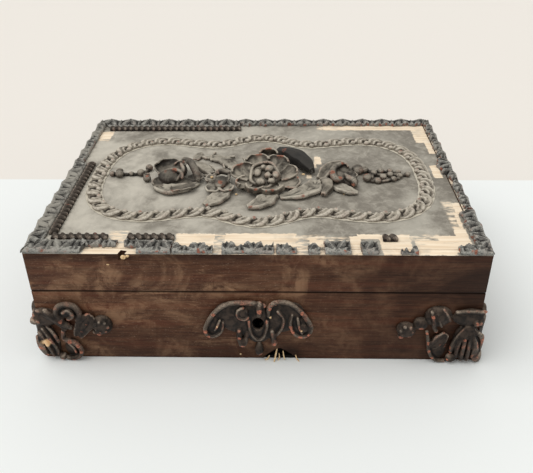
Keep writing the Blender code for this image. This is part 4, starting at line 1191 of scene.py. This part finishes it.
blossom = {
    "balls": [
        (57, -3, 3, 6.2, 7.5, 4.2), (64.5, -8, 3, 5.2, 6, 4.4), (71, 10, 2.2, 4.4, 5.4, 3.6),
        (61, 6, 2.5, 6, 6, 4)],
    "petals": [
        ((58, 0, 3.5), (62, 10, 4), (60.5, 19, 8.4), 4.6, 1.6, 1),
        ((60, -4, 3), (68, -2, 3), (69, 4, 5), 4, 1.2, 0.8)],
    "stems": [
        [(61, 19, 7.6, 1.9), (55, 14, 8.2, 2.2), (52.5, 5, 7.4, 2.5), (54, -4, 5.6, 2.5),
         (58.5, -5, 4.6, 2.2)],
        [(61, 2, 6, 1.5), (63.5, -3, 7, 2.2), (66.5, -7, 6.4, 2.4), (66.5, -13, 3.8, 2.2)]],
    "worn": [
        (52.5, 6, 9.2, 2.8), (57.5, -2, 7, 2.4), (63, -4, 8.6, 2), (66, -12, 5, 2.2), (61, 20, 9.2, 2)],
}
tulip = {
    "balls": [(-28, -9, 4.2, 4.6, 7.6, 3.2, -6)],
    "stems": [
        [(-31.5, 4, 4.6, 1.9), (-30, 6.5, 5.2, 2.1), (-27, 6.5, 5.4, 2.2), (-23.5, 4, 4.8, 1.9)],
        [(-33, 0, 3.4, 1.3), (-32.2, -6, 4.4, 1.3), (-31.5, -12, 3.4, 1)],
        [(-22.6, 2, 4, 1.3), (-23.2, -6, 4.8, 1.3), (-25, -13, 3.4, 1)]],
    "worn": [(-28.5, -8, 7.4, 3), (-25, 7, 7.4, 2)],
}
tulipCup = {
    "balls": [(-29, -14, 0.6, 9, 10.5, 1.9)],
    "petals": [
        ((-29, -8, 1.6), (-34, -18, 1.2), (-33.5, -23, 3.4), 5.6, 1.6, 1.1),
        ((-27, -8, 1.6), (-24, -18, 1.2), (-22.5, -21.5, 3.6), 5.8, 1.6, 1.1),
        ((-30, -6, 1.6), (-37, -6, 1), (-39, -3, 2.6), 5, 1.2, 0.9)],
    "worn": [(-20, -22, 3.8, 2.2), (-35, -24, 3.6, 1.6)],
}


def makeHead(name, values, node, kind, slot, voxel=0.42):
    parts = [seenBall(row) for row in values["balls"]]
    parts += [petalPart(*petal, 1.4) for petal in values.get("petals", [])]
    parts += [seenStem(stem) for stem in values.get("stems", [])]
    piece = fuse(name, parts, voxel, surface)
    markSeen(piece, values["worn"])
    settle(piece, kind, slot, [node])


makeHead("rosebudHead", rosebud, "left_rosebud", "bud", "spray_composition")
makeHead("blossomHead", blossom, "right_blossom", "bud", "spray_composition")
makeHead("tulipBud", tulip, "tulip_bud", "bud", "spray_composition", 0.36)
makeHead("tulipCup", tulipCup, "tulip_cup", "worn", "worn_composition")
print("heads done")


# Berries on their stalks, x and y across the lid and size
berries = {
    "left": {
        "balls": [
            (-80, -8, 6.4), (-81.5, 8.5, 6.2), (-86, 0.5, 6.6), (-93, 0.2, 4.4), (-101, -1.6, 7),
            (-102, 3.2, 6), (-106.5, -0.3, 5)],
        "stalks": [((-80.7, 0.4), (-93, 0.4), (-107, 0)), ((-80.5, 9), (-84, 1), (-79.5, -8))],
    },
    "right": {
        "balls": [
            (75, 6, 6.6), (75.5, -7, 7.4), (81, 1, 5.8), (82.5, -10, 5.4), (86.5, 4.5, 5.4),
            (87, -4.5, 5.8), (92.5, -0.8, 5.4), (93, 5, 5), (94, -7, 5), (98.5, 2.6, 5.2),
            (98.8, -2.6, 5.2), (105, 0, 5)],
        "stalks": [
            ((77, 0), (90, 0), (104, 0)), ((75.5, -8), (84, -10), (98, -5)), ((75, 7), (82, 5), (95, 4)),
            ((77, 7), (80, 0), (77.5, -8))],
    },
}


berryShape = {"radius": 0.45, "long": 1.05, "high": 0.86, "stalk": (0.9, 1.2), "rubbedFrom": 4.2}


def makeBerries(side, values, shape):
    parts = []
    for x, y, size in values["balls"]:
        radius = size * shape["radius"]
        high = radius * shape["high"]
        spot = (x * stretch, y, surface + high * shape["high"])
        parts.append(ballPart(spot, (radius, radius * shape["long"], high)))
    for stalk in values["stalks"]:
        high, radius = shape["stalk"]
        parts.append(stemPart([(x * stretch, y, surface + high, radius) for x, y in stalk]))
    piece = fuse(side + "Berries", parts, 0.42, surface)
    mark(piece, "worn", lambda co: 0.8 * max(0.0, waver(co.x * 0.12, co.y * 0.12) * 2)
         if co.z > surface + shape["rubbedFrom"] else 0.0)
    settle(piece, "bud", "spray_composition", ["berries_" + side])


for side, values in berries.items():
    makeBerries(side, values, berryShape)
print("berries done")


# Escutcheon and mounts are modelled flat, as x along the wood, y up it and z off it, and then laid on the box
# Balls: place, radii, degrees turned. Stems: place, radius. Worn and fleck: place, reach
def flatLeaf(foot, bend, tip, wide, ribs, dish):
    foot, bend, tip = Vector(foot), Vector(bend), Vector(tip)

    def shape(u, v):
        side = bentSide(foot, bend, tip, v).normalized()
        spread = wide / 2 * (0.25 + 0.80 * math.sin(math.pi * (0.12 + 0.78 * v)))
        ribbed = 0.45 * math.cos(ribs * math.pi * u) * (0.4 + 0.6 * math.sin(math.pi * v))
        rise = Vector((0, 0, -dish * (1 - u * u) * 2 + ribbed))
        return bent(foot, bend, tip, v) + side * spread * u * (1 + 0.05 * math.cos(v * 14)) + rise
    return sheetPart(20, 20, 1.6, shape)


def budBalls(x, y, off, ring, size, count, start):
    # a ring of small balls, as a bud shows
    turns = [math.radians(start + 360 * k / count) for k in range(count)]
    return [ballPart((x + ring * math.cos(turn), y + ring * math.sin(turn), off), size) for turn in turns]


def flatParts(values):
    parts = [ballRow(row) for row in values["balls"]]
    if "bud" in values:
        parts += budBalls(*values["bud"])
    slim = values.get("slim", 1)
    for stem in values["stems"]:
        parts.append(stemPart([(x, y, off, radius * slim) for x, y, off, radius in stem]))
    return parts + [flatLeaf(*leaf) for leaf in values.get("leaves", [])]


escutcheon = {
    "balls": [
        (-11, 35, -0.4, 13.5, 12.5, 3.1), (-26.5, 29, -0.2, 6.4, 8.4, 2.6, -18),
        (-19, 40, -0.4, 9, 7.5, 2.7, 35), (15.5, 36, -0.4, 11.5, 12.8, 3.1),
        (27.5, 28.5, -0.2, 6, 7.6, 2.6, 16), (22, 41, -0.4, 8, 7, 2.7, -35),
        (0.8, 31, -0.4, 7.2, 16.5, 3.6), (0.6, 20.5, -0.4, 7, 6, 3), (-8.6, 41, 1.8, 3.6, 4.2, 2.2),
        (29.5, 28.8, 2, 2.6, 3.6, 1.6, 20), (-5.5, 27, 0.2, 7.5, 8, 2.6), (7.5, 26, 0.2, 7.5, 8, 2.6)],
    "stems": [
        [(4.5, 46.5, 2, 1.6), (-2, 48.6, 2.2, 1.7), (-12, 49, 2.2, 1.7), (-20, 47, 2.4, 1.7),
         (-26.5, 41, 2.4, 1.7), (-31, 33, 2.3, 1.7), (-33, 26.5, 2.2, 1.6), (-31.4, 22.2, 2.1, 1.5),
         (-28.4, 21.2, 2, 1.4), (-24.8, 23.2, 2, 1.4), (-22.4, 27, 1.8, 1.3), (-21.4, 33, 1.6, 1.2)],
        [(7.4, 38, 1.8, 1.4), (7.6, 44, 2.2, 1.6), (10, 48.4, 2.3, 1.7), (15, 49.8, 2.3, 1.7),
         (21, 48.2, 2.3, 1.7), (27, 42.6, 2.3, 1.7), (31, 36.4, 2.2, 1.7), (33.4, 31, 2.2, 1.8),
         (33.6, 26, 2.1, 1.6), (31, 22.2, 2.1, 1.4), (27.4, 21.4, 2.1, 1.3), (24, 23.4, 2.1, 1.3),
         (21.8, 27.4, 2.2, 1.3), (20.8, 33, 2.4, 1.4), (22, 40, 2.2, 1.3)],
        [(-27, 26.8, 2.6, 0.8), (-25.2, 30.5, 2.9, 1), (-23.4, 35, 2.6, 0.9)],
        [(28.4, 25, 3, 0.9), (26.6, 30, 3, 1.1), (25.4, 37, 2.4, 1)],
        [(1.4, 48, 2.2, 2.4), (1.5, 44, 3.2, 2.3), (1.2, 39.6, 2.6, 1.8)],
        [(-11.4, 27, 2, 1.9), (-11.4, 20, 2, 2.1), (-9.6, 14.6, 1.8, 2.7)],
        [(-5.8, 26, 2.4, 1.6), (-7.2, 20, 2.2, 1.7), (-8.4, 15, 1.8, 2)],
        [(9.2, 27, 2.4, 1.9), (10.2, 20, 2.2, 2), (10.8, 15.2, 1.8, 2.3)],
        [(-5.6, 38, 3, 1.2), (-8, 36.6, 3.4, 1.2), (-11.8, 38.6, 3.2, 1.2), (-11.8, 43, 3, 1.2),
         (-8.6, 45.4, 2.8, 1.2)],
        [(-5.2, 35, 3, 1.1), (-4.6, 29, 3.2, 1.2), (-3, 23, 3, 1.2), (0.6, 19.4, 2.8, 1.2), (4, 22, 3, 1.2),
         (6, 29, 3.2, 1.2), (6.2, 35, 3, 1.1)],
        [(11.5, 22, 2.2, 1.1), (15.5, 29, 2.8, 1.2), (16.5, 37, 2.8, 1.2), (13, 42.5, 2.6, 1.2)]],
    "worn": [
        (1.6, 44, 5, 2.6), (-33, 26, 3.2, 2.6), (-31.4, 21.6, 3, 2), (-11.6, 21, 3.6, 1.8),
        (-9.6, 13.6, 3.6, 2.4), (10.8, 16, 3.8, 2), (21, 30, 3.4, 2.4), (22, 25.6, 3.2, 2.4),
        (27, 21, 3.2, 2.6), (33, 23.6, 3.2, 2.2), (8.2, 45, 3.6, 2), (28, 41.8, 3.6, 2),
        (-27, 40.5, 3.8, 2), (12, 47.6, 3.8, 1.6)],
    "fleck": [(8.6, 38, 3, 1.2), (4.6, 16.6, 2.4, 1), (-25.2, 30.5, 3.8, 0.9), (28, 27.6, 4, 1)],
    "slim": 0.95, "hole": {"x": 0.6, "z": 32.2, "wide": 3.9, "high": 5.3, "points": 28, "waist": 0.22},
    "voxel": 0.38, "ease": 7,
}
drop = {
    "stems": [[(1, 13.4, 0.4, 2), (1, 10.6, 0.9, 2.9), (1.1, 7.6, 1.1, 2.7), (1.2, 5.6, 0.9, 1.6)]],
    "balls": [(1.1, 9.6, 1.4, 1.5, 3.4, 2.2)], "worn": [(2, 6.6, 3, 2), (0, 5.4, 2.2, 1.2)], "voxel": 0.36,
}


standOff = 0.3   # the ornament's back from the wood's face
cornerRound = 2.4   # how far each side of the corner a mount bends


def layOnFront(piece):
    for point in piece.data.vertices:
        x, z, off = point.co / mm
        point.co = Vector((x, -carcass["halfWidth"] - standOff - off, z)) * mm
    outward(piece)
    piece.data.shade_smooth()


def cutKeyhole(piece, hole):
    around = [2 * math.pi * k / hole["points"] for k in range(hole["points"])]
    outline = [(hole["x"] + hole["wide"] * math.cos(a) * (1 - hole["waist"] * max(0.0, -math.sin(a))),
                hole["z"] + hole["high"] * math.sin(a)) for a in around]
    cutter = loftPiece("keyShape", [[(x, z, level) for x, z in outline] for level in (-4, 9)])
    cut = piece.modifiers.new("keyShape", "BOOLEAN")
    cut.operation, cut.solver, cut.object = "DIFFERENCE", "EXACT", cutter
    applyAll(piece)
    bpy.data.objects.remove(cutter, do_unlink=True)


def makeFlat(node, values, lay, more=()):
    # casts one flat piece, marks its wear, and lays it on the box
    parts = flatParts(values) + list(more)
    piece = fuse(pieceName(node), parts, values["voxel"], 0.0, values.get("ease", 2))
    if "hole" in values:
        cutKeyhole(piece, values["hole"])
    mark(piece, "worn", spotted(values["worn"]))
    mark(piece, "pale", spotted(values.get("fleck", [])))
    lay(piece)
    settle(piece, "mount", "mount_composition", [node])


makeFlat("keyhole_escutcheon", escutcheon, layOnFront)
makeFlat("escutcheon_drop", drop, layOnFront)
print("escutcheon done")


# Corner mounts: x is the way along the front from the corner, and below nought it goes round on to the side
sideShell = {
    "stems": [
        [(-3, 39, 1.2, 2.2), (-7, 40, 1.6, 2.4), (-11, 38, 1, 1.6)],
        [(-3, 30, 1.4, 2), (-5, 20, 1.8, 2.2), (-6, 9, 2, 2.4), (-4, 2.4, 1.6, 2.2)],
        [(-6, 31, 1.2, 1.8), (-8.4, 21, 1.4, 1.9), (-9, 11, 1.4, 1.9), (-7.5, 4, 1, 1.6)]],
    "balls": [(-5, 35, 0, 8.5, 7, 3), (-5, 17, -0.4, 6, 16, 3)],
}
cornerMounts = {
    "mount_front_left": {
        "sides": (-1, -1), "voxel": 0.4,
        "balls": [
            (5, 35, 0.2, 10, 7.5, 2.9), (0.4, 33, 2.6, 2.4, 2.6, 2.2), (41.5, 29.5, 1, 6.6, 7.4, 3.6),
            (5, 16, 0, 6.4, 15.5, 3, 8), (19.5, 9, -0.2, 5.6, 7.4, 2), (12.2, 2.9, 1.8, 2.6, 2.5, 2.4),
            (21.5, 40.5, 0.6, 7, 6.2, 3.2), (39, 23.2, 1.6, 2.4, 1.9, 2), (36, 23.6, 1.2, 1.6, 1.6, 1.6)],
        "bud": (41.5, 29.8, 3.4, 3.6, (1.7, 1.9, 1.5), 7, 0),
        "stems": [
            [(26.5, 35, 3, 1.6), (29, 40, 3.2, 1.9), (26.5, 45.6, 3, 1.9), (21, 47.2, 2.8, 1.9),
             (15.8, 45, 2.8, 1.9), (14.2, 39.6, 3, 1.8), (17.2, 35.4, 3.2, 1.5)],
            [(21.6, 36.6, 4, 1.4), (24.8, 39.6, 4.4, 1.6), (22.4, 43.4, 4.2, 1.5), (18.8, 41.4, 4, 1.3)],
            [(7, 41.4, 2, 1.9), (12, 37, 3, 2.2), (18, 31.4, 2.8, 2.1), (21, 27.5, 1.8, 1.7)],
            [(2.5, 41, 1.6, 1.4), (8.5, 37.5, 2.8, 1.5), (14.5, 31.5, 2.8, 1.5), (17.5, 26, 1.8, 1.3)],
            [(16, 25, 2, 1.5), (15.6, 19.5, 2.6, 1.6), (19, 17.4, 3.4, 1.8), (23, 15, 3.4, 1.7),
             (25.6, 9.8, 3.2, 1.6), (24, 4.4, 2.8, 1.6), (20, 1.9, 2.4, 1.6), (15.5, 2.2, 2.2, 1.6)],
            [(18, 14, 2.2, 0.9), (20.6, 11, 2.6, 1), (21.6, 6.6, 2.4, 0.9)],
            [(3, 27, 2.4, 1.2), (6.5, 20, 3.4, 1.3), (9.4, 12, 3, 1.3), (9.8, 5, 2, 1.2)],
            [(1.6, 24, 2.6, 1.1), (4, 16, 3.6, 1.3), (6, 9, 3.2, 1.2), (6.6, 3, 2, 1.1)],
            [(6, 28.5, 2, 1.1), (9.6, 23, 2.8, 1.1), (11.4, 16, 2.4, 1.1)],
            [(0.4, 20, 2.6, 1.1), (1.4, 12, 3.4, 1.3), (2.6, 5, 2.6, 1.2)]],
        "leaves": [((36, 38, 2.6), (31, 33, 4.6), (25, 20.6, 3), 10.5, 3, 0.35)],
        "worn": [
            (32.6, 31.2, 5.2, 2.4), (19.8, 18, 5.4, 2.6), (25.8, 9, 5, 2.2), (24.6, 14, 5, 1.8),
            (39, 22.4, 3.8, 2.4), (25, 20.6, 4.4, 2), (12.4, 1.4, 4.4, 1.8), (0.2, 12, 4.8, 2.4),
            (19.6, 0.8, 3.4, 2), (0.5, 28, 4.6, 1.6), (16.4, 34.6, 5, 2), (22.4, 35.8, 5, 1.8),
            (28.6, 25.5, 4.6, 1.8)],
        "fleck": [(4.6, 16.4, 4.4, 4)], "ease": 5,
    },
    "mount_front_right": {
        "sides": (1, -1), "voxel": 0.4,
        "balls": [
            (7, 37, 0.4, 11.5, 7, 2.9), (3.6, 34.6, 2.8, 2.6, 2.7, 2.2), (27.2, 38.4, 1, 8.8, 8, 3.8),
            (37.6, 32.8, 1.4, 4.8, 4.6, 3.4), (46.2, 27.6, 1.2, 6.4, 5.6, 3.8, 20),
            (25, 11.5, -0.2, 6.4, 11, 1.8), (15.8, 4.4, 1.8, 3.2, 3.4, 2.8), (7.5, 17, 0, 8.6, 15.5, 3),
            (-0.4, 6, 2, 3, 6, 2.6), (24.5, 19, 1.6, 5, 4.6, 2.2, 35), (49, 23, 1.8, 2.2, 2.4, 2),
            (44, 23, 1.4, 2.6, 1.5, 1.8)],
        "bud": (46.4, 28.2, 3.6, 3.2, (1.7, 1.7, 1.5), 6, 10),
        "stems": [
            [(32, 43.6, 3.2, 1.5), (30.6, 38, 4.4, 1.7), (29.6, 32, 3.4, 1.5), (27.5, 27, 2.2, 1.3)],
            [(25.2, 45, 2.8, 1.2), (22.4, 41, 4, 1.4), (20.6, 36.5, 3, 1.3)],
            [(28.4, 42, 4.2, 0.9), (26.6, 36, 4.8, 1.1), (25, 32.4, 3.6, 1)],
            [(33.4, 27, 2.4, 1.1), (32, 20, 2.8, 1.2), (30.6, 12, 2.8, 1.2), (28, 5.6, 2.4, 1.2),
             (24, 1.8, 2, 1.2), (19.4, 1.8, 1.8, 1.3)],
            [(16.6, 42.6, 2.2, 1.2), (8, 43.6, 2.6, 1.3), (1, 43, 2.4, 1.3)],
            [(9, 31, 2.4, 0.9), (13.6, 24, 3.2, 1.2), (16, 16, 3, 1.4), (16.2, 9.6, 2, 1.2)],
            [(8.6, 31, 2.6, 0.9), (11.6, 23, 3.8, 1.2), (13, 14, 3.6, 1.4), (12.6, 5.6, 2.4, 1.4)],
            [(8, 31, 2.8, 0.9), (9, 22, 4.2, 1.2), (9.4, 12, 4, 1.4), (9.2, 3.4, 2.6, 1.4)],
            [(7.2, 31, 2.8, 0.9), (6.2, 22, 4.2, 1.2), (5.8, 12, 4, 1.4), (5.6, 3.4, 2.6, 1.4)],
            [(6.4, 31, 2.6, 0.9), (3.6, 23, 3.8, 1.2), (2.4, 14, 3.6, 1.4), (2, 6, 2.4, 1.4)],
            [(5.6, 31, 2.4, 0.9), (1.2, 25, 3, 1.1), (-0.8, 18, 3, 1.3), (-1, 11, 2.4, 1.4)]],
        "leaves": [((21, 25, 2.4), (24, 21, 4), (29.5, 13.5, 2.6), 8, 3, 0.3)],
        "worn": [
            (37.4, 30.4, 4.8, 2.4), (33.2, 26, 3.8, 1.8), (31.8, 18, 4.2, 2), (30.4, 11, 4.2, 2),
            (28, 5, 3.8, 2), (24.4, 17.2, 5.2, 2.2), (19, 14, 2.4, 3.6), (17, 9, 2.2, 2.6),
            (49.4, 22.4, 3.8, 2.4), (44, 22.4, 3.2, 2), (31.4, 41, 5.4, 2), (3.4, 35.4, 5.2, 1.8),
            (9.5, 22, 5.2, 1.6), (-1.5, 40, 4.4, 1.8), (18.4, 4, 4, 1.6)],
        "ease": 5,
    },
}
plainMount = {
    "balls": [
        (6, 36, 0.2, 11, 7.2, 2.9), (26, 38, 0.8, 7.8, 7.2, 3.6), (42, 29.5, 0.8, 6.2, 6.6, 3.4),
        (6.5, 17, 0, 8, 15.5, 2.9), (21.5, 9.5, -0.2, 6, 8, 1.8), (13, 3.4, 1.4, 2.8, 2.8, 2.4)],
    "stems": [
        [(33, 34, 2, 1.8), (37, 31, 2.2, 1.7)],
        [(17, 24, 2, 1.4), (19, 18, 2.8, 1.6), (24, 15, 3, 1.6), (27, 9, 2.6, 1.5), (24, 3.4, 2.2, 1.5),
         (17, 2.2, 2, 1.5)],
        [(12, 30, 2.2, 1.6), (12.4, 18, 2.8, 1.7), (10.5, 5, 2, 1.5)],
        [(6, 30, 2.4, 1.6), (6, 18, 3.2, 1.7), (5.4, 4, 2.2, 1.5)]],
    "worn": [(26, 40, 4.6, 2.2), (20, 17, 4.6, 1.8)], "voxel": 0.55, "ease": 5,
}


def roundCorner(piece, sideX, sideY):
    for point in piece.data.vertices:
        along, up, off = point.co / mm
        turn = math.pi / 4 * (1 - min(1.0, max(-1.0, along / cornerRound)))
        off += standOff
        x = carcass["halfLength"] + math.sin(turn) * off - max(0.0, along)
        y = carcass["halfWidth"] + math.cos(turn) * off - max(0.0, -along)
        point.co = Vector((sideX * x, sideY * y, max(0.0, up))) * mm
    outward(piece)
    piece.data.shade_smooth()


cornerMounts["mount_back_left"] = dict(plainMount, sides=(-1, 1))
cornerMounts["mount_back_right"] = dict(plainMount, sides=(1, 1))
for node, values in cornerMounts.items():
    makeFlat(node, values, lambda piece: roundCorner(piece, *values["sides"]), flatParts(sideShell))
print("mounts done")


# Torn fibres in the chip at the foot, small pale scraps that cling to the box, and a dark strip and splinters
# on the chip's floor as painted shadow
scraps = {
    "fibres": [
        [(12.6, -94.2, 8.4, 0.35), (11.8, -95.8, 5.4, 0.55), (11.2, -97.2, 2.2, 0.6),
         (10.6, -98.2, 0.5, 0.4)],
        [(16.4, -94.6, 6.2, 0.3), (16.8, -95.8, 3.4, 0.4), (17.6, -96.8, 0.8, 0.3)],
        [(13.8, -94.6, 4, 0.3), (14, -95.6, 1.6, 0.4), (13.2, -97, 0.4, 0.3)],
        [(24.6, -94.8, 3, 0.35), (25.4, -96.4, 1.4, 0.45), (26.8, -97.8, 0.4, 0.3)],
        [(7.4, -95, 2.4, 0.4), (6.2, -96.2, 0.8, 0.5), (4.6, -96.8, 0.5, 0.3)]],
    # torn and splinters: a dark strip and slivers on the chip's floor, laid as painted shadow
    "torn": [
        (4.2, -93.6, 0.5, 0.5), (9, -93.5, 0.8, 1.3), (16, -93.3, 0.7, 1.5), (22, -93.5, 0.8, 1.3),
        (25.8, -93.7, 0.4, 0.6)],
    "shadowSplinters": [
        (5.4, 1.6), (7.8, 2.6), (9.6, 1.8), (13.6, 3.4), (15.2, 2.2), (18.8, 3), (20.6, 1.8), (22.4, 2.6),
        (24.2, 1.4)],
    "crumbs": [
        (-79.2, -95.2, 81.6, 1.7, 0.9, 1.5), (-89, -95.4, 76.2, 0.9, 0.4, 0.35),
        (-11.3, -95.5, 4.2, 0.6, 0.4, 0.5), (8.4, -98.6, 38.2, 0.7, 0.5, 0.6),
        (-76.6, -95.1, 82.4, 1.1, 0.8, 0.9)],
    "onLid": [
        (-35, -2, 3.2, 1.3, 1, 0.8), (31, 2.5, 4.6, 1.3, 0.8, 0.7), (-16, -26, 0.3, 0.9, 0.7, 0.5),
        (58, -25.5, 0.2, 0.6, 0.5, 0.4)],
}


def makeScraps(values):
    parts = [stemPart(fibre, 4, 8) for fibre in values["fibres"]]
    parts += [ballRow(row) for row in values["crumbs"]] + [seenBall(row) for row in values["onLid"]]
    for part in parts:
        wear(part, finishes["pale"])
    # the dark strip and splinters take the stained wood, which paints them black in the chip as painted
    # shadow
    dark = [stemPart(values["torn"], 4, 8)]
    for x, high in values["shadowSplinters"]:
        shadowSplinter = [(x, -94.6, high, 0.2), (x + 0.4, -94.2, high / 2, 0.6), (x + 0.2, -93.8, 0.2, 0.8)]
        dark.append(stemPart(shadowSplinter, 3, 6))
    for part in dark:
        wear(part, finishes["long"])
    piece = joinAs("paleScraps", parts + dark)
    piece.data.shade_smooth()
    groundAt(piece, 0.05)
    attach(piece, "root")


makeScraps(scraps)
print("scraps done")


# Floor and soft light
studio = {"floor": (239, 244, 246), "behind": (233, 230, 226), "tableEnd": 144.0, "sky": (255, 252, 246),
          "skyStrength": 0.70, "sun": 1.30, "sunFrom": (-0.45, -0.12, 1.0), "spread": 0.9}


def layFloor():
    bpy.ops.object.select_all(action="DESELECT")
    bpy.ops.mesh.primitive_plane_add(size=8, location=(0, 0, 0))
    floor = bpy.context.active_object
    floor.name = "floor"
    finish = Finish("paleFloor", Roughness=0.6, Specular_IOR_Level=0.1)
    _, y, _ = finish.axes()
    soft = finish.noise(0.02, 3.0, 0.5)
    colour = finish.mix(finish.smooth(y, studio["tableEnd"] - 1, studio["tableEnd"] + 1),
                        studio["floor"], studio["behind"])
    wear(floor, finish.finishWith(colour, 0.55 + soft * 0.1))


def addSun(name, fromWhere, strength, spread, colour):
    data = bpy.data.lights.new(name, "SUN")
    data.energy, data.angle, data.color = strength, spread, colour
    light = bpy.data.objects.new(name, data)
    light.location = Vector(fromWhere)
    light.rotation_euler = Vector(fromWhere).to_track_quat("Z", "Y").to_euler()
    bpy.context.scene.collection.objects.link(light)


layFloor()
world = bpy.data.worlds.new("softWorld")
world.use_nodes = True
world.node_tree.nodes["Background"].inputs["Color"].default_value = tint(*studio["sky"])
world.node_tree.nodes["Background"].inputs["Strength"].default_value = studio["skyStrength"]
bpy.context.scene.world = world
addSun("window", studio["sunFrom"], studio["sun"], studio["spread"], (1.0, 0.98, 0.95))
bpy.context.scene.view_settings.view_transform = "Standard"
print("studio ready")
